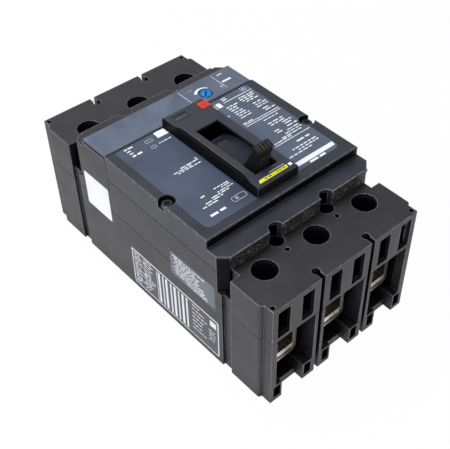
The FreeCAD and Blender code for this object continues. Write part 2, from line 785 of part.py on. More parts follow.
def make_contact_bar(x):
    half = contact_bar_w / 2
    lean = 5.0
    top = rotor_z + contact_bar_t / 2
    low = rotor_z - contact_bar_t / 2
    y0, y1 = rotor_y - contact_bar_half, rotor_y + contact_bar_half
    points = [(x - half + 1, y0), (x + half - 1, y0), (x + half, y0 + 1), (x + half, y0 + lean + 2),
              (x + half, y1 - 1), (x + half - 1, y1), (x - half + 1, y1), (x - half, y1 - 1),
              (x - half, y0 + 1)]
    return prism_z(points, low, top)


def contact_tip(x, line_side, moving):
    """Silver tip on the line or load side; the moving ones face the fixed ones across the gap."""
    y_end = contact_bar_half - 0.2
    z0 = -contact_bar_t / 2 - tip_t
    if not moving:
        z0 -= contact_gap + tip_t
    tip = box(-tip_w / 2 + 0.4, tip_w / 2 - 0.4, -y_end, -y_end + tip_l, z0, z0 + tip_t)
    if not line_side:
        tip = tip.copy()
        tip.rotate(Vector(0, 0, 0), Vector(1, 0, 0), 180)
    return moved(tip, x, rotor_y, rotor_z)


def make_tips(moving):
    return Part.makeCompound([contact_tip(x, side, moving) for x in poles for side in (True, False)])


def make_cassette(x, side):
    inner = cassette_half - cassette_t
    x0, x1 = sorted((x, x + side * cassette_half))
    shell = box(x0, x1, cassette_y0, cassette_y1, floor_t, cassette_top_z)
    room = box(x - inner, x + inner, cassette_y0 + cassette_t, cassette_y1 - cassette_t,
               floor_t + cassette_t, cassette_top_z - cassette_t)
    tools = [room, rod(x - 20, x + 20, rotor_y, rotor_z, rotor_r + pin_clear),
             bar_window(x, bar_z, cassette_y0 - 1, cassette_y0 + 3),
             bar_window(x, riser_z, cassette_y1 - 3, cassette_y1 + 1)]
    for k in range(3):
        z = cassette_top_z - 6.0 - 3.2 * k
        vent = box(x - 8, x + 8, cassette_y0 - 1, cassette_y0 + 3, z, z + 1.4)
        tools.append(vent)
    if abs(x) < 0.1:
        reach = crank_r * math.sin(math.radians(crank_angle)) + eye_r + 1.8
        tools.append(box(-lower_x[1] - 1.2, lower_x[1] + 1.2, rotor_y - reach, rotor_y + reach,
                         cassette_top_z - 3, cassette_top_z + 1))
    return cut(shell, tools)


def arc_plate(x, y_tip, y_end, z):
    """Steel plate whose notch faces the moving contact; y_tip is the side of the contact."""
    half = chute_half - board_t
    depth = (y_end - y_tip) * 0.55
    notch = contact_bar_w / 2 + 1.0
    points = [(x - half, y_tip), (x - notch, y_tip), (x - 1.2, y_tip + depth), (x + 1.2, y_tip + depth),
              (x + notch, y_tip), (x + half, y_tip), (x + half, y_end), (x - half, y_end)]
    return prism_z(points, z, z + plate_t)


def chute_span(line_side):
    """Y from the contact's swing to the cassette's end wall, and the heights of the stack."""
    swing = math.hypot(contact_bar_half, contact_bar_t / 2 + tip_t) + chute_gap
    inside = floor_t + cassette_t
    if line_side:
        y_tip, y_end = rotor_y - swing, cassette_y0 + cassette_t + 0.3
        return y_tip, y_end, bar_z + bar_t + 1.2, cassette_top_z - cassette_t - 0.3
    y_tip, y_end = rotor_y + swing, cassette_y1 - cassette_t - 0.3
    return y_tip, y_end, inside + 0.3, riser_z - 1.2


def make_arc_plates(line_side):
    y_tip, y_end, z0, z1 = chute_span(line_side)
    count = int((z1 - z0 - plate_t) / plate_pitch) + 1
    plates = []
    for x in poles:
        plates += [arc_plate(x, y_tip, y_end, z0 + plate_pitch * k) for k in range(count)]
    return Part.makeCompound(plates)


def make_chute_boards(line_side):
    y_tip, y_end, z0, z1 = chute_span(line_side)
    low, high = sorted((y_tip, y_end))
    boards = []
    for x in poles:
        for side in (-1, 1):
            x0, x1 = sorted((x + side * chute_half, x + side * (chute_half - board_t)))
            boards.append(box(x0, x1, low, high, z0, z1))
    return Part.makeCompound(boards)


def make_line_bar(x):
    y0 = -lug_front_y - bar_proud
    y1 = rotor_y - contact_bar_half + 0.2 + tip_l
    return box(x - bar_w / 2, x + bar_w / 2, y0, y1, bar_z, bar_z + bar_t)


def make_contact_riser(x):
    """Load-side fixed contact arm, from the rotor to the bolt in the trip unit."""
    y0 = rotor_y + contact_bar_half - 0.2 - tip_l
    bar = box(x - bar_w / 2, x + bar_w / 2, y0, riser_end_y, riser_z, riser_z + bar_t)
    return cut(bar, [post(x, joint_bolt_y, riser_z - 1, riser_z + bar_t + 1, joint_bolt_r)])


def make_heater_bar(x):
    """Bent bar that carries the current past the bimetal and down to the load lug."""
    top = riser_z + 2 * bar_t
    y_drop = inner_y - heater_drop
    y_front = joint_bolt_y - 5.0
    y_out = lug_front_y + bar_proud
    points = [(y_front, top - bar_t), (y_drop, top - bar_t), (y_drop, bar_z), (y_out, bar_z),
              (y_out, bar_z + bar_t), (y_drop + bar_t, bar_z + bar_t), (y_drop + bar_t, top),
              (y_front, top)]
    bar = prism_x(points, x - bar_w / 2, x + bar_w / 2)
    return cut(bar, [post(x, joint_bolt_y, riser_z, top + 1, joint_bolt_r)])


def make_joint_bolts():
    bolts = []
    top = riser_z + 2 * bar_t
    for x in poles:
        shank = post(x, joint_bolt_y, riser_z - 1.5, top, joint_bolt_r - pin_clear)
        bolts.append(fuse([shank, hexagon(x, joint_bolt_y, top, top + joint_head_t, joint_head_r)]))
    return Part.makeCompound(bolts)


def make_bimetal(x):
    foot_z0 = riser_z + 2 * bar_t
    y1 = trip_bar_y - trip_bar_r - bimetal_gap
    y0 = y1 - bimetal_t
    y_foot = y0 - bimetal_foot
    points = [(y_foot, foot_z0), (y1, foot_z0), (y1, bimetal_top_z), (y0, bimetal_top_z),
              (y0, foot_z0 + bimetal_t), (y_foot, foot_z0 + bimetal_t)]
    return prism_x(points, x - bimetal_w / 2, x + bimetal_w / 2)


def make_yoke(x):
    bottom = riser_z + bar_t - yoke_t
    outer = yoke_inner + yoke_t
    points = [(x - outer, bottom), (x + outer, bottom), (x + outer, yoke_top_z),
              (x + yoke_inner, yoke_top_z), (x + yoke_inner, bottom + yoke_t),
              (x - yoke_inner, bottom + yoke_t), (x - yoke_inner, yoke_top_z), (x - outer, yoke_top_z)]
    return prism_y(points, yoke_y[0], yoke_y[1])


def make_armatures():
    plates = []
    z0 = yoke_top_z + armature_gap
    for x in poles:
        plate = box(x - armature_half, x + armature_half, yoke_y[0] - 0.5, yoke_y[1], z0, z0 + armature_t)
        slot = box(x - 2.5, x + 2.5, yoke_y[0] - 1, yoke_y[0] + 2, z0 - 1, z0 + 3)
        plates.append(plate.cut(slot))
    return Part.makeCompound(plates)


def make_trip_bar():
    y, z = trip_bar_y, trip_bar_z
    end = half_w - wall_t - 0.5
    pieces = [rod(-end, end, y, z, trip_bar_r)]
    carrier_z = yoke_top_z + armature_gap + armature_t
    for x in poles:
        pieces.append(box(x - trip_arm_half, x + trip_arm_half, y - trip_bar_r, y, trip_arm_z, z))
        for side in (-1, 1):
            mid = x + side * 8.0
            points = [(yoke_y[0] + 1, carrier_z), (y - 1, carrier_z), (y + 1, z), (y - 1, z + 1.5),
                      (yoke_y[0] + 1, carrier_z + 2)]
            pieces.append(prism_x(points, mid - 1.2, mid + 1.2))
    pad = button_stem_z - 0.3
    lever = [(y, z - 2), (y, z + 2), (lever_y + 4, pad), (lever_y - 1, pad), (lever_y - 1, pad - 2.2),
             (lever_y + 4, pad - 2.4)]
    pieces.append(prism_x(lever, lever_x[0], lever_x[1]))
    return fuse(pieces)


def make_dial():
    deck = face_z - trip_plate_t
    head = post(dial_x, dial_y, deck + 0.3, face_z, dial_r)
    head = head.makeChamfer(0.3, [e for e in head.Edges if on_top_rim(e, face_z)])
    stem = post(dial_x, dial_y, dial_cam_z[0], deck + 1, dial_stem_r)
    cam = post(dial_x + dial_cam_offset, dial_y, dial_cam_z[0], dial_cam_z[1], dial_cam_r)
    slot = box(dial_x - 2.6, dial_x + 2.6, dial_y - 0.45, dial_y + 0.45, face_z - 1.1, face_z + 1)
    return cut(fuse([head, stem, cam]), [slot])


def make_lug(x, sign):
    """Box lug round the terminal bar; sign is -1 at the line end and 1 at the load end."""
    y0 = lug_front_y - lug_length
    half = lug_w / 2
    c = lug_chamfer
    outline = [(x - half, lug_z0 + c), (x - half + c, lug_z0), (x + half - c, lug_z0),
               (x + half, lug_z0 + c), (x + half, lug_top_z - 1), (x + half - 1, lug_top_z),
               (x - half + 1, lug_top_z), (x - half, lug_top_z - 1)]
    body = prism_y(outline, y0, lug_front_y)
    inner = half - lug_wall
    low, high = lug_z0 + lug_wall - 0.4, lug_window_z
    d = 1.3
    opening = [(x - inner, low + d), (x - inner + d, low), (x + inner - d, low), (x + inner, low + d),
               (x + inner, high - d), (x + inner - d, high), (x - inner + d, high), (x - inner, high - d)]
    tools = [prism_y(opening, y0 - 1, lug_front_y + 1)]
    tools.append(post(x, lug_y, lug_z0 + 5, lug_top_z + 1, lug_screw_r + pin_clear))
    body = cut(body, tools)
    return body if sign > 0 else mirrored(body, "y")


def make_lug_screw(x, sign):
    z1 = lug_screw_tip_z + lug_screw_length
    body = post(x, lug_y, lug_screw_tip_z, z1, lug_screw_r)
    body = cut(body, [hexagon(x, lug_y, z1 - hex_depth, z1 + 1, hex_across / math.sqrt(3))])
    return body if sign > 0 else mirrored(body, "y")


def cross_recess(x, y, z):
    half = driver_slot / 2
    return [box(x - cross_half, x + cross_half, y - half, y + half, z - driver_depth, z + 1),
            box(x - half, x + half, y - cross_half, y + cross_half, z - driver_depth, z + 1)]


def make_cover_screws():
    screws = []
    for side in (-1, 1):
        x = side * (half_w - cover_screw_in)
        top = cover_screw_seat_z + cover_screw_head_t
        head = post(x, cover_screw_y, cover_screw_seat_z, top, cover_screw_head_r)
        head = head.makeChamfer(0.6, [e for e in head.Edges if on_top_rim(e, top)])
        shank = post(x, cover_screw_y, cover_screw_end_z, cover_screw_seat_z, cover_screw_shank_r)
        screws.append(cut(fuse([head, shank]), cross_recess(x, cover_screw_y, top)))
    return Part.makeCompound(screws)


def make_case_screws():
    screws = []
    for x in webs:
        for side in (-1, 1):
            y = side * (mount_y + guide_hole_out)
            z1 = case_screw_sunk + case_screw_head_t
            head = post(x, y, case_screw_sunk, z1, case_screw_head_r)
            shank = post(x, y, z1, case_screw_end_z, guide_hole_r - pin_clear)
            slot = box(x - case_screw_head_r, x + case_screw_head_r, y - driver_slot / 2,
                       y + driver_slot / 2, case_screw_sunk - 1, case_screw_sunk + driver_depth)
            screws.append(cut(fuse([head, shank]), [slot]))
    return Part.makeCompound(screws)


nodes = {
    "base": make_base(),
    "main_cover": make_main_cover(),
    "front_cover": make_front_cover(),
    "bezel": make_bezel(),
    "trip_unit_case": make_trip_case(),
    "trip_unit_plate": make_trip_plate(),
    "toggle": make_toggle(),
    "toggle_arm": make_toggle_arm(),
    "trip_button": make_button(),
    "trip_button_spring": make_button_spring(),
    "adjusting_dial": make_dial(),
    "trip_bar": make_trip_bar(),
    "armatures": make_armatures(),
    "front_cover_screws": make_cover_screws(),
    "case_screws": make_case_screws(),
    "mechanism_plate_left": make_side_plate(-plate_x1, -plate_x0),
    "mechanism_plate_right": make_side_plate(plate_x0, plate_x1),
    "mechanism_pins": make_pins(),
    "cradle": make_cradle(),
    "latch": make_latch(),
    "upper_links": make_upper_links(),
    "lower_links": make_lower_links(),
    "main_springs": make_main_springs(),
    "crossbar_rods": Part.makeCompound([
        rod(-poles[-1] - room_half + 0.4, poles[-1] + room_half - 0.4, rotor_y,
            rotor_z + side * rod_offset, rod_r) for side in (-1, 1)]),
    "moving_contact_tips": make_tips(True),
    "fixed_contact_tips": make_tips(False),
    "line_arc_plates": make_arc_plates(True),
    "load_arc_plates": make_arc_plates(False),
    "line_arc_boards": make_chute_boards(True),
    "load_arc_boards": make_chute_boards(False),
    "trip_unit_bolts": make_joint_bolts(),
}
for number, pole_x in enumerate(poles, start=1):
    nodes[f"line_lug_{number}"] = make_lug(pole_x, -1)
    nodes[f"load_lug_{number}"] = make_lug(pole_x, 1)
    nodes[f"line_lug_screw_{number}"] = make_lug_screw(pole_x, -1)
    nodes[f"load_lug_screw_{number}"] = make_lug_screw(pole_x, 1)
    nodes[f"line_terminal_bar_{number}"] = make_line_bar(pole_x)
    nodes[f"heater_bar_{number}"] = make_heater_bar(pole_x)
    nodes[f"contact_rotor_{number}"] = make_rotor(pole_x, abs(pole_x) < 0.1)
    nodes[f"contact_bar_{number}"] = make_contact_bar(pole_x)
nodes["load_contact_arms"] = Part.makeCompound([make_contact_riser(x) for x in poles])
nodes["bimetals"] = Part.makeCompound([make_bimetal(x) for x in poles])
nodes["magnet_yokes"] = Part.makeCompound([make_yoke(x) for x in poles])
nodes["pole_cassettes_left"] = Part.makeCompound([make_cassette(x, -1) for x in poles])
nodes["pole_cassettes_right"] = Part.makeCompound([make_cassette(x, 1) for x in poles])

os.makedirs("parts", exist_ok=True)
for name, shape in nodes.items():
    shape.exportStep(f"parts/{name}.step")
print(len(nodes), "nodes")
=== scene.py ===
import bpy
import json
import math
import numpy as np
from mathutils import Matrix, Vector


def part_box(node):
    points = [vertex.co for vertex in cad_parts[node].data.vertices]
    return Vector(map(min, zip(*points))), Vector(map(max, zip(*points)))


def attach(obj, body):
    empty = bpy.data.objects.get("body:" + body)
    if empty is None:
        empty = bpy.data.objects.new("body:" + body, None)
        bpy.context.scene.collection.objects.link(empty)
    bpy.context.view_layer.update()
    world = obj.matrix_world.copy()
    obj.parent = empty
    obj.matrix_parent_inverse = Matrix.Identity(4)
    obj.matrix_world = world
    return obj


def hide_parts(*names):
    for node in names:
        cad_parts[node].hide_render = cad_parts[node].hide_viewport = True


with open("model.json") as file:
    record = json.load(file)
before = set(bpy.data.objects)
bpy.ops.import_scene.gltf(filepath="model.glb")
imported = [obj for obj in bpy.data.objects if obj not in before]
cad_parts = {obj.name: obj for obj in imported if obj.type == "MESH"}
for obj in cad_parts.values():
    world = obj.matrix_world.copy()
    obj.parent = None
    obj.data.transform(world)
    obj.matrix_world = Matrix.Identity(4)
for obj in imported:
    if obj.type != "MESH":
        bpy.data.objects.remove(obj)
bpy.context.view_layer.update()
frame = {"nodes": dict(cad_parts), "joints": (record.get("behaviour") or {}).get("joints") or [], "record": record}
nodes = frame["nodes"]
record = frame["record"]
mm = 0.001


# Places that the dressing sits on, read from the frame in millimetres
def boxOf(node):
    low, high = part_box(node)
    return [v / mm for v in low], [v / mm for v in high]


coverLow, coverHigh = boxOf("front_cover")
bezelLow, bezelHigh = boxOf("bezel")
dialLow, dialHigh = boxOf("adjusting_dial")
buttonLow, buttonHigh = boxOf("trip_button")
sideX = boxOf("base")[0][0]
plateTop = boxOf("trip_unit_plate")[1][2]
lugCoverTop = boxOf("main_cover")[1][2]
faceTop, bezelTop = coverHigh[2], bezelHigh[2]


# Shader nodes
def node(tree, kind, **settings):
    made = tree.nodes.new(kind)
    for key, value in settings.items():
        setattr(made, key, value)
    return made


def noise(tree, coords, scale, detail, stretch=None):
    made = node(tree, "ShaderNodeTexNoise")
    made.inputs["Scale"].default_value = scale
    made.inputs["Detail"].default_value = detail
    source = coords
    if stretch:
        mapping = node(tree, "ShaderNodeMapping")
        mapping.inputs["Scale"].default_value = stretch
        tree.links.new(coords, mapping.inputs["Vector"])
        source = mapping.outputs[0]
    tree.links.new(source, made.inputs["Vector"])
    return made.outputs["Fac"]


def remap(tree, value, low, high, toLow, toHigh):
    made = node(tree, "ShaderNodeMapRange")
    for key, number in (("From Min", low), ("From Max", high), ("To Min", toLow), ("To Max", toHigh)):
        made.inputs[key].default_value = number
    tree.links.new(value, made.inputs["Value"])
    return made.outputs[0]


def blendColours(tree, factor, first, second):
    made = node(tree, "ShaderNodeMix", data_type="RGBA")
    for socket, value in ((made.inputs["A"], first), (made.inputs["B"], second)):
        if hasattr(value, "default_value") or hasattr(value, "links"):
            tree.links.new(value, socket)
        else:
            socket.default_value = (*value, 1)
    tree.links.new(factor, made.inputs["Factor"])
    return made.outputs["Result"]


def mathOf(tree, operation, first, second):
    made = node(tree, "ShaderNodeMath", operation=operation)
    for socket, value in zip(made.inputs, (first, second)):
        if isinstance(value, (int, float)):
            socket.default_value = value
        else:
            tree.links.new(value, socket)
    return made.outputs[0]


def outside(tree, place, low, high, blur=0.04):
    # Nought between the two places, one beyond them
    middle, half = (low + high) / 2, (high - low) / 2
    away = mathOf(tree, "ABSOLUTE", mathOf(tree, "SUBTRACT", place, middle * mm), 0.0)
    return remap(tree, away, (half - blur) * mm, half * mm, 0.0, 1.0)


def bump(tree, normal, height, strength, distance):
    made = node(tree, "ShaderNodeBump")
    made.inputs["Strength"].default_value = strength
    made.inputs["Distance"].default_value = distance * mm
    tree.links.new(normal, made.inputs["Normal"])
    tree.links.new(height, made.inputs["Height"])
    return made.outputs[0]


def mixInto(tree, outputKind, factor, first, second):
    # Two shaders mixed by the factor and led to the tree's output
    mix = node(tree, "ShaderNodeMixShader")
    for socket, value in zip(mix.inputs, (factor, first, second)):
        tree.links.new(value, socket)
    tree.links.new(mix.outputs[0], node(tree, outputKind).inputs["Surface"])


# Camera, lights and stage
cameraLook = {"place": (-0.2263, -0.2717, 0.3733), "azimuth": -41.97, "elevation": 45.05,
              "lens": 68.5, "shiftX": -0.0444, "shiftY": 0.0178}
studioLook = {
    "sky": 0.24, "skyColour": (0.93, 0.96, 1.0), "ceiling": 0.128, "ceilingRise": (0.45, 0.62),
    "floor": 0.86, "floorWhite": 0.97, "floorHalf": 4.0,
    # each lamp's place in metres, side, power and colour
    "lamps": {"softbox": ((-0.15, 0.25, 0.95), 0.9, 8.0, (0.95, 0.97, 1.0)),
              "fill_left": ((-0.75, -0.25, 0.55), 0.7, 4.6, (0.97, 0.97, 1.0))}}


def makeCamera():
    az, el = (math.radians(cameraLook[k]) for k in ("azimuth", "elevation"))
    back = Vector((math.sin(az) * math.cos(el), -math.cos(az) * math.cos(el), math.sin(el)))
    right = Vector((math.cos(az), math.sin(az), 0))
    data = bpy.data.cameras.new("camera")
    data.lens = cameraLook["lens"]
    data.shift_x = cameraLook["shiftX"]
    data.shift_y = cameraLook["shiftY"]
    data.clip_start = 0.01
    camera = bpy.data.objects.new("camera", data)
    turn = Matrix((right, back.cross(right), back)).transposed()
    camera.matrix_world = Matrix.Translation(cameraLook["place"]) @ turn.to_4x4()
    bpy.context.scene.collection.objects.link(camera)
    bpy.context.scene.camera = camera


def makeAreaLight(name, place, size, power, colour):
    data = bpy.data.lights.new(name, "AREA")
    data.shape = "SQUARE"
    data.size = size
    data.energy = power
    data.color = colour
    lamp = bpy.data.objects.new(name, data)
    lamp.location = place
    lamp.rotation_euler = (-Vector(place)).to_track_quat("-Z", "Y").to_euler()
    bpy.context.scene.collection.objects.link(lamp)


def cameraFactor(tree):
    # One where the ray comes straight from the camera or by a gloss or clear surface
    path = node(tree, "ShaderNodeLightPath").outputs
    sharp = mathOf(tree, "MAXIMUM", path["Is Camera Ray"], path["Is Glossy Ray"])
    return mathOf(tree, "MAXIMUM", sharp, path["Is Transmission Ray"])


def makeWorld():
    # White round the horizon, dimmer overhead where only glossy surfaces see it
    world = bpy.data.worlds.new("studio")
    bpy.context.scene.world = world
    world.use_nodes = True
    tree = world.node_tree
    tree.nodes.clear()
    seen = node(tree, "ShaderNodeBackground")
    seen.inputs["Color"].default_value = (1.0, 1.0, 1.0, 1)
    soft = node(tree, "ShaderNodeBackground")
    soft.inputs["Color"].default_value = (*studioLook["skyColour"], 1)
    soft.inputs["Strength"].default_value = studioLook["sky"]
    split = node(tree, "ShaderNodeSeparateXYZ")
    tree.links.new(node(tree, "ShaderNodeTexCoord").outputs["Generated"], split.inputs[0])
    dim = remap(tree, split.outputs["Z"], *studioLook["ceilingRise"], 1.0, studioLook["ceiling"])
    tree.links.new(dim, seen.inputs["Strength"])
    mixInto(tree, "ShaderNodeOutputWorld", cameraFactor(tree), soft.outputs[0], seen.outputs[0])


def makeFloor():
    mesh = bpy.data.meshes.new("floor")
    half = studioLook["floorHalf"]
    corners = [(-half, -half, 0), (half, -half, 0), (half, half, 0), (-half, half, 0)]
    mesh.from_pydata(corners, [], [(0, 1, 2, 3)])
    floor = bpy.data.objects.new("floor", mesh)
    bpy.context.scene.collection.objects.link(floor)
    material = bpy.data.materials.new("floor_white")
    material.use_nodes = True
    tree = material.node_tree
    tree.nodes.clear()
    paper = node(tree, "ShaderNodeBsdfDiffuse")
    paper.inputs["Color"].default_value = (studioLook["floor"],) * 3 + (1,)
    glow = node(tree, "ShaderNodeEmission")
    glow.inputs["Strength"].default_value = 1.0
    share = mathOf(tree, "MULTIPLY", cameraFactor(tree), studioLook["floorWhite"])
    mixInto(tree, "ShaderNodeOutputMaterial", share, paper.outputs[0], glow.outputs[0])
    mesh.materials.append(material)


makeCamera()
makeWorld()
makeFloor()
for lampName, lamp in studioLook["lamps"].items():
    makeAreaLight(lampName, *lamp)
bpy.context.scene.view_settings.view_transform = "Standard"
print("stage: camera, world, floor and lights")


# Materials
def scaled(colour, share, lift=0.0, most=2.0):
    # Colour times the share, plus the lift
    return tuple(min(most, c * share + lift) for c in colour)


def startMaterial(name):
    material = bpy.data.materials.new(name)
    material.use_nodes = True
    tree = material.node_tree
    return material, tree, tree.nodes["Principled BSDF"], node(tree, "ShaderNodeTexCoord").outputs["Object"]


def edgeFactor(tree, width):
    # How far the rounded normal leaves the true one: high along edges only
    rounded = node(tree, "ShaderNodeBevel", samples=4)
    rounded.inputs["Radius"].default_value = width * mm
    flat = node(tree, "ShaderNodeNewGeometry")
    dot = node(tree, "ShaderNodeVectorMath", operation="DOT_PRODUCT")
    tree.links.new(rounded.outputs[0], dot.inputs[0])
    tree.links.new(flat.outputs["Normal"], dot.inputs[1])
    return rounded.outputs[0], remap(tree, dot.outputs["Value"], 0.985, 0.86, 0.0, 1.0)


# Noise scales, per metre
plastic = {"speck": 2600.0, "worn": 420.0, "grain": 3300.0, "fleck": 1500.0, "coarse": 1100.0, "swell": 150.0}
worked = {"streak": 900.0, "tarnish": 160.0}


def moulded(name, look):
    # Moulded plastic: fine spark grain, faint clouding, dust-like specks, softened edges, paler edges that are
    # partly wear and mostly a painted highlight, and painted shade in recesses and seams where the look asks for
    # it
    material, tree, shader, coords = startMaterial(name)
    base = look["colour"]
    rounded, edge = edgeFactor(tree, look.get("edge", 0.35))
    cloud = noise(tree, coords, look.get("cloudScale", 70.0), 5.0)
    dark, pale = scaled(base, look.get("dark", 0.82)), scaled(base, look.get("pale", 1.2))
    colour = blendColours(tree, remap(tree, cloud, 0.32, 0.68, 0.0, 1.0), dark, pale)
    most = look.get("specks", 0.25)
    specks = remap(tree, noise(tree, coords, plastic["speck"], 2.0), 0.66, 0.80, 0.0, most)
    colour = blendColours(tree, specks, colour, scaled(base, 2.2, 0.015, 1.0))
    # Paler edges: wear in patches and, above all, a painted highlight along every edge
    worn = remap(tree, noise(tree, coords, plastic["worn"], 4.0), 0.35, 0.65, 0.35, 1.0)
    wearAndHighlight = remap(tree, mathOf(tree, "MULTIPLY", edge, worn), 0.0, 1.0, 0.0, look.get("wearAndHighlight", 0.35))
    colour = blendColours(tree, wearAndHighlight, colour, look.get("wearHighlightColour", scaled(base, 2.4, 0.03, 1.0)))
    grain = noise(tree, coords, plastic["grain"], 2.0)
    place = node(tree, "ShaderNodeSeparateXYZ")
    tree.links.new(coords, place.inputs[0])
    if "above" in look:
        # Another colour over a height, or this one over it and another below; the bezel's paler top is a painted
        # sheen of light
        height, upper = look["above"]
        factor = remap(tree, place.outputs["Z"], (height - 0.15) * mm, (height + 0.15) * mm, 0.0, 1.0)
        colour = blendColours(tree, factor, look.get("below", colour), upper or colour)
    if "recessShade" in look:
        # Painted shade: recesses found by ambient occlusion and the listed seam bands are darkened, in colour and
        # in the tint of their reflections
        reach, share = look["recessShade"]
        openness = node(tree, "ShaderNodeAmbientOcclusion", samples=6)
        openness.inputs["Distance"].default_value = reach * mm
        factor = remap(tree, openness.outputs["AO"], 0.25, 0.75, 0.0, 1.0)
        for low, high, nearY, farY in look["paintedSeamShade"]:
            beyond = mathOf(tree, "MAXIMUM", outside(tree, place.outputs["Z"], low, high),
                            outside(tree, place.outputs["Y"], nearY, farY))
            factor = mathOf(tree, "MINIMUM", factor, beyond)
        colour = blendColours(tree, factor, scaled(base, share), colour)
        tint = blendColours(tree, factor, (share,) * 3, (1.0, 1.0, 1.0))
        tree.links.new(tint, shader.inputs["Specular Tint"])
    if "roughBand" in look:
        # Torn, flecked wall nearer than one place and under one height
        nearY, topZ, bandColour, fleckColour = look["roughBand"]
        ahead = remap(tree, place.outputs["Y"], (nearY + 0.1) * mm, nearY * mm, 0.0, 1.0)
        under = remap(tree, place.outputs["Z"], topZ * mm, (topZ - 0.1) * mm, 0.0, 1.0)
        band = mathOf(tree, "MULTIPLY", ahead, under)
        flecks = remap(tree, noise(tree, coords, plastic["fleck"], 4.0), 0.55, 0.63, 0.0, 1.0)
        colour = blendColours(tree, band, colour, blendColours(tree, flecks, bandColour, fleckColour))
        coarse = remap(tree, noise(tree, coords, plastic["coarse"], 4.0), 0.3, 0.7, 0.0, 8.0)
        grain = mathOf(tree, "ADD", grain, mathOf(tree, "MULTIPLY", coarse, band))
    tree.links.new(colour, shader.inputs["Base Color"])
    rough = look["roughness"]
    tree.links.new(remap(tree, cloud, 0.3, 0.7, rough - 0.05, rough + 0.07), shader.inputs["Roughness"])
    shader.inputs["Specular IOR Level"].default_value = look.get("specular", 0.5)
    swell = bump(tree, rounded, noise(tree, coords, plastic["swell"], 2.0), 0.12, 0.25)
    tree.links.new(bump(tree, swell, grain, look.get("grain", 0.2), 0.06), shader.inputs["Normal"])
    return material


def metal(name, look):
    # Worked metal: streaks along one direction, tarnish clouds and brighter edges
    material, tree, shader, coords = startMaterial(name)
    shader.inputs["Metallic"].default_value = 1.0
    base = look["colour"]
    rounded, edge = edgeFactor(tree, 0.3)
    streak = noise(tree, coords, worked["streak"], 3.0, look.get("streak", (1.0, 0.08, 1.0)))
    tarnish = remap(tree, noise(tree, coords, worked["tarnish"], 5.0), 0.35, 0.7, 0.0, 0.8)
    colour = blendColours(tree, tarnish, base, scaled(base, 0.72))
    colour = blendColours(tree, remap(tree, streak, 0.4, 0.75, 0.0, 0.35), colour, scaled(base, 0.6))
    colour = blendColours(tree, remap(tree, edge, 0.0, 1.0, 0.0, 0.5), colour, scaled(base, 1.25, 0.0, 1.0))
    tree.links.new(colour, shader.inputs["Base Color"])
    rough = look["roughness"]
    tree.links.new(remap(tree, streak, 0.3, 0.7, rough - 0.08, rough + 0.12), shader.inputs["Roughness"])
    tree.links.new(bump(tree, rounded, streak, 0.25, 0.05), shader.inputs["Normal"])
    return material


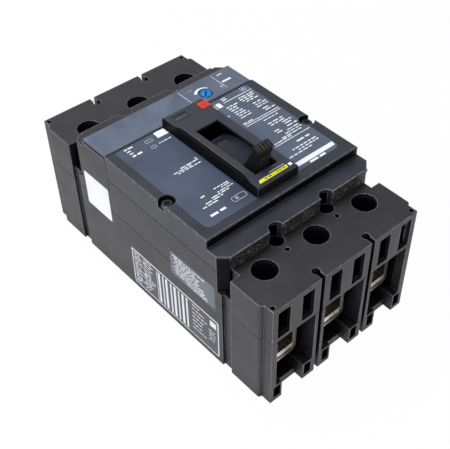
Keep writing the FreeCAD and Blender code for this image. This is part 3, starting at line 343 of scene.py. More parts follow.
mouldedLooks = {
    # On the case and the front cover, painted shade darkens recesses and seam bands, and the pale edge colour is
    # mostly a painted highlight
    "case_black": {"colour": (0.0190, 0.0175, 0.0230), "roughness": 0.44, "specks": 0.35, "wearAndHighlight": 1.0,
                   "edge": 0.6, "recessShade": (20.0, 0.04), "wearHighlightColour": (0.52, 0.53, 0.57),
                   # low, high, near and far place of each seam band painted dark as shade
                   "paintedSeamShade": [(47.7, 48.25, -100.0, 100.0), (70.65, 71.1, -57.5, 31.5),
                             (48.0, 84.1, 30.85, 31.5)]},
    "cover_slate": {"colour": (0.0190, 0.0225, 0.0330), "roughness": 0.42, "specks": 0.20, "wearAndHighlight": 1.0,
                    "edge": 0.6, "recessShade": (11.0, 0.08), "wearHighlightColour": (0.48, 0.52, 0.58),
                    "paintedSeamShade": [(70.9, 71.25, -57.5, 31.5), (48.0, 86.1, 30.85, 31.5)],
                    "roughBand": (-61.6, 79.3, (0.016, 0.016, 0.020), (0.34, 0.30, 0.21))},
    "plate_slate": {"colour": (0.0980, 0.1230, 0.1740), "roughness": 0.42, "specks": 0.10, "wearAndHighlight": 0.25},
    # Bezel: the paler colour over 91.3 mm is a painted sheen of light on its top
    "bezel_black": {"colour": (0.0025, 0.0025, 0.0040), "roughness": 0.42, "specks": 0.20, "wearAndHighlight": 0.8,
                    "edge": 0.45, "wearHighlightColour": (0.27, 0.285, 0.32),
                    "above": (91.3, (0.0330, 0.0365, 0.0480)), "specular": 0.34},
    # Near-black for thin sheets laid over faces as painted shade
    "painted_shade_black": {"colour": (0.0020, 0.0020, 0.0030), "roughness": 0.5, "specks": 0.05, "wearAndHighlight": 0.0,
                       "specular": 0.08},
    # Pale colour for a painted edge highlight line
    "painted_highlight_pale": {"colour": (0.160, 0.168, 0.190), "roughness": 0.5, "specks": 0.0, "wearAndHighlight": 0.0},
    "toggle_black": {"colour": (0.0065, 0.0070, 0.0085), "roughness": 0.44, "specks": 0.10, "wearAndHighlight": 0.8,
                     "wearHighlightColour": (0.16, 0.155, 0.15), "edge": 0.4, "specular": 0.22},
    "trip_red": {"colour": (0.68, 0.046, 0.016), "roughness": 0.38, "specks": 0.05, "wearAndHighlight": 0.15,
                 "pale": 1.08,
                 "above": (85.5, None), "below": (0.012, 0.012, 0.014)},
    "dial_blue": {"colour": (0.008, 0.200, 0.620), "roughness": 0.36, "specks": 0.05, "wearAndHighlight": 0.2,
                  "pale": 1.1},
    "dial_shadow": {"colour": (0.002, 0.012, 0.060), "roughness": 0.5, "specks": 0.0, "specular": 0.1},
    "inner_plastic": {"colour": (0.26, 0.22, 0.17), "roughness": 0.55, "specks": 0.3},
    "insulating_board": {"colour": (0.55, 0.42, 0.27), "roughness": 0.75, "specks": 0.4},
    "film_left": {"colour": (0.052, 0.069, 0.111), "roughness": 0.40, "specks": 0.06,
                  "cloudScale": 40.0, "wearAndHighlight": 0.2},
    "film_right": {"colour": (0.082, 0.107, 0.158), "roughness": 0.40, "specks": 0.06,
                   "cloudScale": 40.0, "wearAndHighlight": 0.2},
    "film_bezel": {"colour": (0.024, 0.032, 0.054), "roughness": 0.36, "specks": 0.05, "wearAndHighlight": 0.2},
    "print_white": {"colour": (0.90, 0.93, 0.96), "roughness": 0.5, "dark": 0.85, "pale": 1.12,
                    "specks": 0.0},
    "print_warm": {"colour": (0.62, 0.33, 0.20), "roughness": 0.5, "dark": 0.85, "pale": 1.1,
                   "specks": 0.0},
    "print_yellow": {"colour": (0.78, 0.78, 0.02), "roughness": 0.42, "dark": 0.92, "pale": 1.06,
                     "specks": 0.0},
    "sticker_white": {"colour": (0.90, 0.92, 0.94), "roughness": 0.42, "dark": 0.95, "pale": 1.03,
                      "specks": 0.0, "grain": 0.1},
    "ink_dark": {"colour": (0.10, 0.10, 0.03), "roughness": 0.5, "specks": 0.0},
    "bezel_insert": {"colour": (0.022, 0.025, 0.032), "roughness": 0.34, "specks": 0.05},
    "bezel_raised": {"colour": (0.070, 0.076, 0.085), "roughness": 0.42, "specks": 0.05},
    "trip_red_deep": {"colour": (0.30, 0.016, 0.010), "roughness": 0.45, "specks": 0.0},
    "toggle_skirt": {"colour": (0.010, 0.0135, 0.0210), "roughness": 0.46, "specks": 0.10, "wearAndHighlight": 0.25,
                     "specular": 0.30},
    "toggle_cap": {"colour": (0.010, 0.010, 0.012), "roughness": 0.46, "specks": 0.15, "wearAndHighlight": 1.0,
                   "edge": 0.4,
                   "wearHighlightColour": (0.30, 0.28, 0.24), "specular": 0.22},
    "skirt_mark": {"colour": (0.060, 0.066, 0.076), "roughness": 0.45, "specks": 0.05},
    "label_dark": {"colour": (0.055, 0.060, 0.072), "roughness": 0.46, "specks": 0.1, "dark": 0.85},
    "label_grey": {"colour": (0.120, 0.138, 0.165), "roughness": 0.46, "specks": 0.1, "dark": 0.9},
    "label_print": {"colour": (0.84, 0.88, 0.94), "roughness": 0.5, "dark": 0.85, "pale": 1.1,
                    "specks": 0.0},
}
metalLooks = {
    "tinned_lug": {"colour": (0.30, 0.28, 0.21), "roughness": 0.34, "streak": (1.0, 1.0, 0.08)},
    "silvered_copper": {"colour": (0.88, 0.85, 0.76), "roughness": 0.28},
    "copper": {"colour": (0.80, 0.42, 0.26), "roughness": 0.30},
    "contact_silver": {"colour": (0.82, 0.81, 0.78), "roughness": 0.32},
    "zinc_steel": {"colour": (0.58, 0.58, 0.57), "roughness": 0.34},
    "dark_screw": {"colour": (0.085, 0.085, 0.090), "roughness": 0.36},
    "plate_steel": {"colour": (0.50, 0.50, 0.48), "roughness": 0.38},
    "spring_steel": {"colour": (0.42, 0.42, 0.43), "roughness": 0.33, "streak": (0.2, 0.2, 6.0)},
}
materials = {name: moulded(name, look) for name, look in mouldedLooks.items()}
materials.update({name: metal(name, look) for name, look in metalLooks.items()})
for part in record["subparts"]:
    mesh = nodes[part["node"]].data
    mesh.materials.clear()
    mesh.materials.append(materials[part["material_slot"]])
print("stage: materials on", len(record["subparts"]), "nodes")


# Shapes worked out as arrays, in millimetres; a shape is its points and its faces
def addPiece(name, shape, material, body="case"):
    mesh = bpy.data.meshes.new(name)
    mesh.from_pydata((shape[0] * mm).tolist(), [], shape[1])
    mesh.materials.append(materials[material])
    mesh.shade_flat()
    piece = bpy.data.objects.new(name, mesh)
    bpy.context.scene.collection.objects.link(piece)
    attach(piece, body)
    return piece


def gridFaces(rows, cols):
    # Quads between neighbouring rows, with the last column joined to the first
    r = np.arange(rows - 1)[:, None] * cols
    c = np.arange(cols)[None, :]
    n = (c + 1) % cols
    return np.stack([r + c, r + n, r + cols + n, r + cols + c], -1).reshape(-1, 4).tolist()


def stackFaces(rows, cols):
    # A closed grid of rings with its first and last ring filled in
    return gridFaces(rows, cols) + [list(range(cols))[::-1], list(range((rows - 1) * cols, rows * cols))]


def roundedOutline(corners, radii, steps=5):
    # Each corner becomes a quadratic curve that starts and ends its radius away along both sides
    p = np.asarray(corners, float)
    r = np.broadcast_to(np.asarray(radii, float), (len(p),))[:, None]
    back, ahead = np.roll(p, 1, 0) - p, np.roll(p, -1, 0) - p
    a = p + back / np.linalg.norm(back, axis=1, keepdims=True) * r
    b = p + ahead / np.linalg.norm(ahead, axis=1, keepdims=True) * r
    t = np.linspace(0, 1, steps)[None, :, None]
    curve = (1 - t) ** 2 * a[:, None] + 2 * t * (1 - t) * p[:, None] + t ** 2 * b[:, None]
    return curve.reshape(-1, 2)


def rectangle(u0, v0, u1, v1):
    return [(u0, v0), (u1, v0), (u1, v1), (u0, v1)]


def shrunk(outline, distance):
    # Every point moved inwards along the mean of the normals of its two sides
    ahead = np.roll(outline, -1, 0) - outline
    normal = np.stack([-ahead[:, 1], ahead[:, 0]], 1)
    normal /= np.linalg.norm(normal, axis=1, keepdims=True) + 1e-9
    mean = normal + np.roll(normal, 1, 0)
    return outline + mean / (np.linalg.norm(mean, axis=1, keepdims=True) + 1e-9) * distance


def slab(outline, low, high, edge):
    # Outline rings at the foot and the shoulder, and a smaller one on top, as (u, v, height)
    outline = np.asarray(outline, float)
    rings = [(outline, low), (outline, high - edge), (shrunk(outline, edge), high)]
    points = np.concatenate([np.column_stack([ring, np.full(len(ring), h)]) for ring, h in rings])
    return points, stackFaces(3, len(outline))


def bars(starts, ends, widths, low, high):
    # Flat bars between start and end points, each a thin box with its top drawn in a little
    starts, ends = np.asarray(starts, float), np.asarray(ends, float)
    half = np.broadcast_to(np.asarray(widths, float), (len(starts),))[:, None] / 2
    along = ends - starts
    along /= np.linalg.norm(along, axis=1, keepdims=True)
    across = np.stack([-along[:, 1], along[:, 0]], 1)
    inset = (high - low) * 0.4
    rings = []
    for h, side, back in ((low, half, 0.0), (high, half - inset, inset)):
        corners = np.stack([starts + along * back - across * side, ends - along * back - across * side,
                            ends - along * back + across * side, starts + along * back + across * side], 1)
        rings.append(np.concatenate([corners, np.full(corners.shape[:2] + (1,), h)], 2))
    points = np.concatenate(rings, 1).reshape(-1, 3)
    one = np.array(stackFaces(2, 4))
    faces = (np.arange(len(starts))[:, None, None] * 8 + one[None]).reshape(-1, 4)
    return points, faces.tolist()


def dashes(rows, low, high):
    # Level bars, each given as its start, end, place across and width
    x0, x1, y, width = np.array(rows, float).T
    return bars(np.column_stack([x0, y]), np.column_stack([x1, y]), width, low, high)


def ringStrip(centre, inner, outer, start, stop, low, high, steps=24):
    # Flat ring segment; inner and outer radius change evenly from the start to the stop angle
    t = np.linspace(0, 1, steps)
    angle = np.radians(start + (stop - start) * t)
    ri = inner[0] + (inner[1] - inner[0]) * t
    ro = outer[0] + (outer[1] - outer[0]) * t
    c, s = np.cos(angle), np.sin(angle)
    columns = [(ri, low), (ro, low), (ro, high), (ri, high)]
    points = np.stack([np.stack([centre[0] + r * c, centre[1] + r * s, np.full(steps, h)], 1)
                       for r, h in columns], 1).reshape(-1, 3)
    return points, stackFaces(steps, 4)


def ring(centre, inner, outer, low, high):
    return ringStrip(centre, (inner, inner), (outer, outer), 0, 359, low, high)


def ringOfFour(innerPoints, outerPoints, low, high):
    # Two matched outlines at two heights, joined all the way round into a closed ring
    count = len(innerPoints)
    levels = [(innerPoints, low), (outerPoints, low), (outerPoints, high), (innerPoints, high)]
    points = np.stack([np.column_stack([ring, np.full(count, h)]) for ring, h in levels], 1)
    faces = gridFaces(count + 1, 4)
    return points.reshape(-1, 3), [[i % (count * 4) for i in face] for face in faces]


wordLook = {"length": (1.1, 4.2), "gap": (0.45, 0.8), "stroke": 0.78, "most": 40}


def printed(rows, seed, low, high):
    # Each row (start, end, place across, height) becomes word-long bars with small gaps between them
    rng = np.random.default_rng(seed)
    words = []
    for x0, x1, y, height in rows:
        lengths = rng.uniform(*wordLook["length"], wordLook["most"]) * height
        gaps = rng.uniform(*wordLook["gap"], wordLook["most"]) * height
        stops = np.cumsum(lengths + gaps) - gaps
        words += [(x0 + (stop - length), x0 + stop, y, height * wordLook["stroke"])
                  for stop, length in zip(stops, lengths) if stop < x1 - x0]
    return dashes(words, low, high)


def joined(shapes):
    starts = np.cumsum([0] + [len(points) for points, _ in shapes]).tolist()
    faces = [[i + start for i in face] for start, shape in zip(starts, shapes) for face in shape[1]]
    return np.concatenate([points for points, _ in shapes]), faces


def moved(shape, x, y, z):
    return shape[0] + (x, y, z), shape[1]


def onTop(shape, z):
    return moved(shape, 0, 0, z)


def onLeft(shape):
    # Local u runs towards -Y, v up, and the height out of the left side
    points = shape[0]
    return np.column_stack([sideX - points[:, 2], -points[:, 0], points[:, 1]]), shape[1]


def uprightSkin(start, end, foot, top, thick, trims=(0.0, 0.0)):
    # Thin upright plate along a line in plan, standing off to the right of the way from start to end
    start, end = np.array(start), np.array(end)
    span = np.linalg.norm(end - start)
    along = (end - start) / span
    u0, u1 = trims[0], span - trims[1]
    points, faces = slab(rectangle(u0, foot, u1, top), -0.02, thick, 0.02)
    plan = start + points[:, :1] * along + points[:, 2:] * (along[1], -along[0])
    return np.column_stack([plan, points[:, 1]]), faces


# Printed film on the front cover, one field each side of the bezel
filmLook = {"thick": 0.12, "bevel": 0.05, "far": 1.4, "gap": 0.4, "ringRadius": 4.9,
            "corners": [1.2, 4.2, 0.3, 0.3],
            # place of the outer edge and of the near edge
            "left": (-46.5, -45.4), "right": (45.7, -44.2)}
screwLow, screwHigh = boxOf("front_cover_screws")
screwX, screwY = screwHigh[0] - 3.35, (screwLow[1] + screwHigh[1]) / 2


def filmOutline(edgeX, nearY):
    # Worked out on the right with an arc round the screw's well, then reversed or mirrored
    r, outerX, innerX = filmLook["ringRadius"], abs(edgeX), bezelHigh[0] + filmLook["gap"]
    farY = coverHigh[1] - filmLook["far"]
    reach = math.acos((screwX - outerX) / r)
    angles = np.linspace(reach, -reach, 13)
    notch = np.column_stack([screwX - r * np.cos(angles), screwY + r * np.sin(angles)])
    outer = roundedOutline([(outerX, farY), (outerX, nearY), (innerX, nearY), (innerX, farY)],
                           filmLook["corners"])
    outline = np.concatenate([outer[:5], notch, outer[5:]])
    return outline[::-1] if edgeX > 0 else outline * (-1, 1)


for side in ("left", "right"):
    film = slab(filmOutline(*filmLook[side]), 0.0, filmLook["thick"], filmLook["bevel"])
    addPiece("panel_film_" + side, onTop(film, faceTop), "film_" + side)
print("dressing: printed films")

# Rows of small print, each as its start, end, place across and height
printRows = {
    "left": [(-41.6, -35.4, 28.3, 1.2), (-41.2, -35.2, 26.1, 1.2), (-41.0, -35.0, 23.9, 1.2),
             (-40.9, -34.4, 21.5, 1.7), (-24.0, -15.4, 21.2, 0.9), (-33.7, -19.2, -3.6, 0.9),
             (-31.8, -17.0, -4.9, 0.9), (-28.4, -14.6, -2.3, 0.9), (-18.0, -14.4, -0.8, 0.9),
             (-25.9, -14.8, -25.6, 0.9), (-22.0, -14.8, -26.9, 0.9), (-34.9, -31.0, -26.2, 1.2),
             (-35.4, -31.6, -28.0, 1.2), (-38.9, -27.9, -33.0, 1.0), (-36.0, -24.0, -31.4, 1.0),
             (-31.0, -18.4, -30.0, 1.0), (-26.0, -15.2, -28.6, 0.9), (-39.6, -27.4, -39.5, 1.9)],
    "right": [(25.2, 31.0, 28.4, 1.0), (25.2, 30.0, 26.9, 1.0), (33.4, 45.0, 22.6, 1.1),
              (33.0, 44.4, 20.9, 1.1), (33.6, 43.8, 19.2, 1.1), (35.2, 44.8, 17.5, 1.1),
              (22.6, 31.0, 20.2, 1.1), (22.8, 31.4, 18.3, 1.1), (22.8, 31.0, 16.4, 1.1),
              (23.0, 31.6, 14.2, 1.1), (22.8, 31.2, 12.3, 1.1), (23.0, 31.4, 10.4, 1.1),
              (22.6, 30.8, 8.3, 1.1), (36.4, 44.6, 13.8, 1.1), (36.6, 44.4, 11.8, 1.1),
              (36.0, 45.0, 9.8, 1.1), (37.4, 44.6, 6.8, 1.1), (37.8, 44.8, 4.9, 1.1),
              (16.4, 20.2, 14.0, 1.0), (19.9, 27.0, 3.4, 1.1), (30.4, 43.6, -1.6, 0.9),
              (30.0, 43.0, -5.4, 1.1), (30.4, 42.6, -7.3, 1.1), (37.0, 44.0, -9.2, 1.1),
              (37.4, 43.6, -11.1, 1.1), (28.2, 33.4, -12.4, 1.1), (28.6, 33.6, -14.3, 1.1),
              (36.6, 44.2, -13.4, 1.1), (34.4, 44.0, -15.9, 1.0), (31.4, 43.8, -17.6, 1.0),
              (27.2, 43.4, -19.4, 1.0), (20.6, 34.8, -20.6, 1.0), (31.4, 42.6, -26.3, 1.6),
              (24.6, 43.0, -30.0, 1.1), (27.4, 43.4, -31.8, 1.1), (19.0, 37.6, -33.7, 1.1),
              (24.8, 36.4, -43.0, 1.9)],
}
ruleLook = {"width": 0.55, "rules": [(24.6, 45.2, 24.9), (19.8, 45.1, 2.2), (19.8, 45.1, 0.6),
                                     (19.8, 44.9, -22.3)]}
ink = (filmLook["thick"] - 0.01, filmLook["thick"] + 0.03)
addPiece("print_left", onTop(printed(printRows["left"], 11, *ink), faceTop), "print_white")
rules = dashes([(*rule, ruleLook["width"]) for rule in ruleLook["rules"]], *ink)
addPiece("print_right", onTop(joined([printed(printRows["right"], 23, *ink), rules]), faceTop), "print_white")

# White fields: a sticker left of the bezel, blocks of symbols and the band at the near right
fieldLook = {"corner": 0.25, "extra": 0.02, "bevel": 0.02}
whiteFields = {
    "sticker_front": [(-21.2, 30.0), (-21.6, 25.0), (-14.5, 24.8), (-14.5, 29.8)],
    "band_front": [(15.0, -38.4), (15.8, -41.6), (44.6, -41.6), (45.2, -38.6)],
    "block_first": [(15.6, 26.6), (15.6, 22.2), (18.6, 22.2), (18.6, 26.6)],
    "block_second": [(19.6, 26.9), (19.6, 22.6), (22.6, 22.6), (22.6, 26.9)],
}
for name, corners in whiteFields.items():
    field = slab(roundedOutline(corners, fieldLook["corner"], 3), ink[0], ink[1] + fieldLook["extra"],
                 fieldLook["bevel"])
    material = "print_white" if "block" in name else "sticker_white"
    addPiece(name, onTop(field, faceTop), material)

# Outlined symbols, rounded frames of line work, and a ring in two of them
symbolLook = {"line": 0.26, "corner": 0.8, "shortest": 0.02,
              # centre, width and height of each frame; centre, inner and outer radius of each ring
              "frames": [((-20.0, -38.0), 8.6, 3.6), ((-27.6, 20.8), 3.2, 1.8), ((-26.8, 26.3), 4.6, 2.0),
                         ((41.6, 28.0), 3.6, 3.0)],
              "rings": [((-21.4, -38.0), 0.55, 0.85), ((41.6, 28.0), 0.5, 0.8)]}
symbols = []
for centre, width, height in symbolLook["frames"]:
    u, v = width / 2, height / 2
    starts = roundedOutline(rectangle(-u, -v, u, v), min(u, v) * symbolLook["corner"], 6) + centre
    ends = np.roll(starts, -1, 0)
    keep = np.linalg.norm(ends - starts, axis=1) > symbolLook["shortest"]
    symbols.append(bars(starts[keep], ends[keep], symbolLook["line"], *ink))
symbols += [ring(*numbers, *ink) for numbers in symbolLook["rings"]]
addPiece("symbols_front", onTop(joined(symbols), faceTop), "print_white")
print("dressing: print on the front cover")

# Trip unit plate: two rules, a swelling arc round the dial and a little print
dialX, dialY = ((dialLow[k] + dialHigh[k]) / 2 for k in (0, 1))
plateMarks = {"ink": (0.0, 0.04), "far": 49.6, "nearEnds": [(11.6, 37.4), (36.0, 35.4)], "ruleWidth": 0.34,
              "arc": ((4.9, 5.0), (6.7, 5.5), 150, 38),
              "print": [(39.0, 43.2, 47.8, 1.0), (37.4, 46.2, 41.0, 1.9), (33.8, 35.0, 38.6, 0.8),
                        (13.6, 16.4, 41.6, 0.8)],
              "warm": [(16.4, 17.4, 46.6, 0.8), (17.9, 19.4, 46.6, 0.8), (33.4, 36.8, 37.4, 0.7)]}
plateInk = plateMarks["ink"]
shapes = [bars([(x, plateMarks["far"]) for x, y in plateMarks["nearEnds"]], plateMarks["nearEnds"],
               plateMarks["ruleWidth"], *plateInk),
          ringStrip((dialX, dialY), *plateMarks["arc"], *plateInk),
          printed(plateMarks["print"], 5, *plateInk)]
addPiece("print_trip_plate", onTop(joined(shapes), plateTop), "print_white")
addPiece("print_trip_plate_warm", onTop(dashes(plateMarks["warm"], *plateInk), plateTop), "print_warm")
print("dressing: trip unit plate")

# Dial head: two half discs and a rim stand on a disc, with the slot between them
dialLook = {"slotAngle": 48.0, "slotHalf": 0.42, "slotDepth": 0.8, "ring": 0.35, "slotReach": 0.68,
            "sunk": 0.05, "bevel": 0.12, "rimDrop": 0.02}


def halfDisc(radius, inset, turn):
    # Arc above a chord that runs parallel to the slot, turned to its angle
    reach = math.asin(inset / radius)
    angles = np.linspace(reach, math.pi - reach, 24) + math.radians(turn)
    return np.column_stack([radius * np.cos(angles), radius * np.sin(angles)])


dialR, dialTop = (dialHigh[0] - dialLow[0]) / 2, dialHigh[2]
headR, slotFloor = dialR - dialLook["ring"], dialTop - dialLook["slotDepth"]
angles = np.linspace(0, 2 * np.pi, 48, endpoint=False)
disc = dialR * np.column_stack([np.cos(angles), np.sin(angles)])
inside = disc * dialLook["slotReach"]
shapes = [slab(disc, dialLow[2], slotFloor, 0.05)]
shapes += [slab(halfDisc(headR, dialLook["slotHalf"], dialLook["slotAngle"] + turn),
                slotFloor - dialLook["sunk"], dialTop, dialLook["bevel"]) for turn in (0, 180)]
shapes.append(ringOfFour(inside, disc * (headR / dialR), slotFloor - dialLook["sunk"],
                         dialTop - dialLook["rimDrop"]))
floorDisc = slab(inside, slotFloor - 0.02, slotFloor + 0.03, 0.02)
addPiece("dial_slot_floor", moved(floorDisc, dialX, dialY, 0), "dial_shadow", "adjusting_dial")
dialHead = addPiece("dial_head", moved(joined(shapes), dialX, dialY, 0), "dial_blue",
                    "adjusting_dial")
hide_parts("adjusting_dial")

# Painted shadow: black bars in the open seam along the far edge of the front cover, either side of the bezel
seamLook = {"width": 0.75, "inset": 0.2, "ends": 0.6, "clear": 0.1}
seamEnd, seamY = bezelHigh[0] + seamLook["clear"], coverHigh[1] - seamLook["inset"]
paintedSeamShade = dashes([(coverLow[0] + seamLook["ends"], -seamEnd, seamY, seamLook["width"]),
                (seamEnd, coverHigh[0] - seamLook["ends"], seamY, seamLook["width"])], -0.02, 0.03)
addPiece("seam_front_painted_shadow", onTop(paintedSeamShade, faceTop), "painted_shade_black")

# Bezel: film and yellow bar at the near end, rating window, marks for on and off beside the slot
bezelMarks = {"film": [(-12.6, -44.0), (12.6, -44.0), (12.6, -37.9), (9.4, -37.2), (-9.4, -37.2),
                       (-12.6, -37.9)],
              "yellow": [(-10.8, -43.2), (8.4, -43.2), (9.4, -40.9), (-9.6, -40.9)],
              "whiteSpot": rectangle(9.9, -42.9, 12.0, -40.9), "whiteLine": (-1.6, 8.6, -39.7, 0.34),
              "words": [(-6.4, -1.4, -41.95, 1.1), (1.6, 8.2, -41.95, 0.8)],
              "window": rectangle(-9.9, 22.1, -0.8, 27.5),
              "windowRibs": [(-8.8, -7.2), (-6.6, -5.0), (-4.4, -2.9), (-2.4, -1.6)],
              "on": (-10.9, -9.1, -30.0, 0.34), "off": ((-10.6, 4.4), 0.75, 1.05)}
film = slab(roundedOutline(bezelMarks["film"], 0.8, 4), -0.01, 0.07, 0.03)
yellow = slab(roundedOutline(bezelMarks["yellow"], 0.5, 4), 0.06, 0.11, 0.02)
whiteMarks = joined([slab(roundedOutline(bezelMarks["whiteSpot"], 0.2, 3), 0.06, 0.11, 0.02),
                     dashes([bezelMarks["whiteLine"]], 0.06, 0.10)])
window = slab(roundedOutline(bezelMarks["window"], 0.3, 3), -0.42, -0.30, 0.05)
windowRibs = dashes([(x0, x1, 24.8, 2.0) for x0, x1 in bezelMarks["windowRibs"]], -0.31, -0.22)
onOff = joined([dashes([bezelMarks["on"]], -0.01, 0.05), ring(*bezelMarks["off"], -0.01, 0.05)])
for name, shape, material in (("bezel_film", film, "film_bezel"),
                              ("bezel_yellow_bar", yellow, "print_yellow"),
                              ("bezel_white_marks", whiteMarks, "print_white"),
                              ("bezel_dark_marks", printed(bezelMarks["words"], 3, 0.10, 0.13), "ink_dark"),
                              ("rating_window", window, "bezel_insert"),
                              ("rating_window_marks", windowRibs, "bezel_raised"),
                              ("on_off_marks", onOff, "bezel_raised")):
    addPiece(name, onTop(shape, bezelTop), material)

# Painted shade on the bezel's left side, a black strip painted as shade along its shoulder, and a pale painted
# highlight line beside the strip
shoulderLook = {"far": 20.4, "near": -38.2, "width": 2.3, "line": 0.3, "tip": 0.5, "nearRun": 6.0,
                "farRun": 4.0, "out": 0.06}
sideLook = {"farInset": 0.4, "nearInset": 0.6, "foot": 0.16, "head": 0.02, "thick": 0.06}
bezelSideShade = uprightSkin((bezelLow[0], bezelHigh[1] - sideLook["farInset"]),
                       (bezelLow[0], bezelLow[1] + sideLook["nearInset"]),
                       faceTop + sideLook["foot"], bezelTop - sideLook["head"], sideLook["thick"])
addPiece("bezel_side_painted_shade", bezelSideShade, "painted_shade_black")
stripNear, stripFar = shoulderLook["near"], shoulderLook["far"]
stripX = bezelLow[0] - shoulderLook["out"]
tipX, innerX = stripX + shoulderLook["tip"], stripX + shoulderLook["width"]
innerNear, innerFar = stripNear + shoulderLook["nearRun"], stripFar - shoulderLook["farRun"]
strip = slab(roundedOutline([(stripX, stripNear), (tipX, stripNear), (innerX, innerNear), (innerX, innerFar),
                             (tipX, stripFar), (stripX, stripFar)], [0.2, 0.2, 2.0, 2.0, 0.2, 0.2], 4),
             -0.02, 0.05, 0.02)
addPiece("bezel_shoulder_painted_shade", onTop(strip, bezelTop), "painted_shade_black")
lineX = innerX + shoulderLook["line"] / 2
line = bars([(lineX, innerNear)], [(lineX, innerFar)], shoulderLook["line"], -0.02, 0.06)
addPiece("bezel_shoulder_painted_highlight", onTop(line, bezelTop), "painted_highlight_pale")

# Ribs across the trip button
buttonLook = {"ribs": (9.1, 10.6, 12.1), "half": 2.3, "width": 0.5}
buttonMidY = (buttonLow[1] + buttonHigh[1]) / 2
buttonRibs = bars([(x, buttonMidY - buttonLook["half"]) for x in buttonLook["ribs"]],
                  [(x, buttonMidY + buttonLook["half"]) for x in buttonLook["ribs"]],
                  buttonLook["width"], -0.02, 0.12)
addPiece("button_ribs", onTop(buttonRibs, buttonHigh[2]), "trip_red_deep", "trip_button")
print("dressing: bezel and button")

# Toggle: grip with a ribbed cap, curved skirt and hub, drawn upright and turned to its rest place
throwJoint = next(j for j in frame["joints"] if j["name"] == "toggle_throw")
pivot = np.array(throwJoint["pos_m"]) / mm
restTurn = math.radians(throwJoint["range_deg"][1] / 2)
toggleLook = {
    # distance from the pivot, half width, half depth, offset towards the load end
    "grip": [(39.6, 6.9, 5.7, 0.2), (41.6, 6.7, 5.6, 0.3), (42.4, 6.2, 5.3, 0.3), (44.5, 5.6, 4.95, 0.35),
             (48.0, 4.95, 4.4, 0.6), (52.0, 4.6, 3.6, 1.0), (55.4, 4.55, 2.85, 1.4), (56.4, 4.6, 2.65, 1.55),
             (56.7, 5.0, 2.75, 1.6), (57.1, 5.15, 2.8, 1.65), (59.6, 5.1, 2.7, 1.85), (60.7, 5.0, 2.6, 1.95),
             (61.1, 4.8, 2.4, 2.0)],
    # share of the top ring and rise over it
    "crown": [(0.96, 0.12), (0.8, 0.16), (0.45, 0.18)],
    "power": 0.24, "around": 56, "up": 40,
    "skirtOuter": 42.1, "skirtInner": 40.1, "skirtHalf": 8.3, "skirtAngle": 49.0, "edge": 0.35, "sweep": 57,
    "hub": (5.5, 4.5, 34.0, 41.0), "sharpGrip": 38, "sharpSkirt": 35}
gripLevels = np.array(toggleLook["grip"])


def turnedToRest(shape):
    # Local x, y, height over the pivot become the place at rest; the turn takes the top towards the line end
    x, y, z = shape[0].T
    c, s = math.cos(restTurn), math.sin(restTurn)
    return np.column_stack([x, pivot[1] + y * c - z * s, pivot[2] + y * s + z * c]), shape[1]


def superRing(halfW, halfD, power, count):
    # A rectangle with rounded corners: cosine and sine raised to a power that squares it up
    t = np.linspace(0, 2 * np.pi, count, endpoint=False) + np.pi / count
    c, s = np.cos(t), np.sin(t)
    return halfW * np.sign(c) * np.abs(c) ** power, halfD * np.sign(s) * np.abs(s) ** power


def gripSize(r):
    # Half width, half depth and offset, interpolated between the listed levels
    return [np.interp(r, gripLevels[:, 0], gripLevels[:, k]) for k in (1, 2, 3)]


def gripShape():
    # Rings up the grip and a slightly crowned cap
    bottom, top = gripLevels[0, 0], gripLevels[-1, 0]
    r = np.unique(np.concatenate([np.linspace(bottom, top, toggleLook["up"]), gripLevels[:, 0]]))[:, None]
    w, d, lean = gripSize(r)
    x, y = superRing(w, d, toggleLook["power"], toggleLook["around"])
    body = np.stack([x, y + lean, np.broadcast_to(r, x.shape)], 2)
    share, rise = np.array(toggleLook["crown"]).T[:, :, None]
    capX, capY = x[-1] * share, y[-1] * share + lean[-1]
    cap = np.stack([capX, capY, np.broadcast_to(top + rise, capX.shape)], 2)
    points = np.concatenate([body, cap])
    return points.reshape(-1, 3), stackFaces(len(points), toggleLook["around"])


def skirtShape():
    # A rounded strip's outline across the skirt, swept along an arc about the pivot
    half, angle, count = (toggleLook[k] for k in ("skirtHalf", "skirtAngle", "sweep"))
    section = roundedOutline(rectangle(-half, toggleLook["skirtInner"], half, toggleLook["skirtOuter"]),
                             toggleLook["edge"], 4)
    a = np.radians(np.linspace(-angle, angle, count))[:, None]
    points = np.stack([np.broadcast_to(section[:, 0], (count, len(section))), np.sin(a) * section[:, 1],
                       np.cos(a) * section[:, 1]], 2)
    return points.reshape(-1, 3), [f[::-1] for f in stackFaces(count, len(section))]


gripPiece = addPiece("toggle_grip", turnedToRest(gripShape()), "toggle_black", "toggle")
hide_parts("toggle")
skirtPiece = addPiece("toggle_skirt", turnedToRest(skirtShape()), "toggle_skirt", "toggle")
for piece, sharp in ((gripPiece, "sharpGrip"), (skirtPiece, "sharpSkirt")):
    piece.data.shade_smooth()
    piece.data.set_sharp_from_angle(angle=math.radians(toggleLook[sharp]))
hubW, hubD, hubLow, hubHigh = toggleLook["hub"]
hub = slab(roundedOutline(rectangle(-hubW, -hubD, hubW, hubD), 0.8, 4), hubLow, hubHigh, 0.3)
addPiece("toggle_hub", turnedToRest(hub), "toggle_black", "toggle")

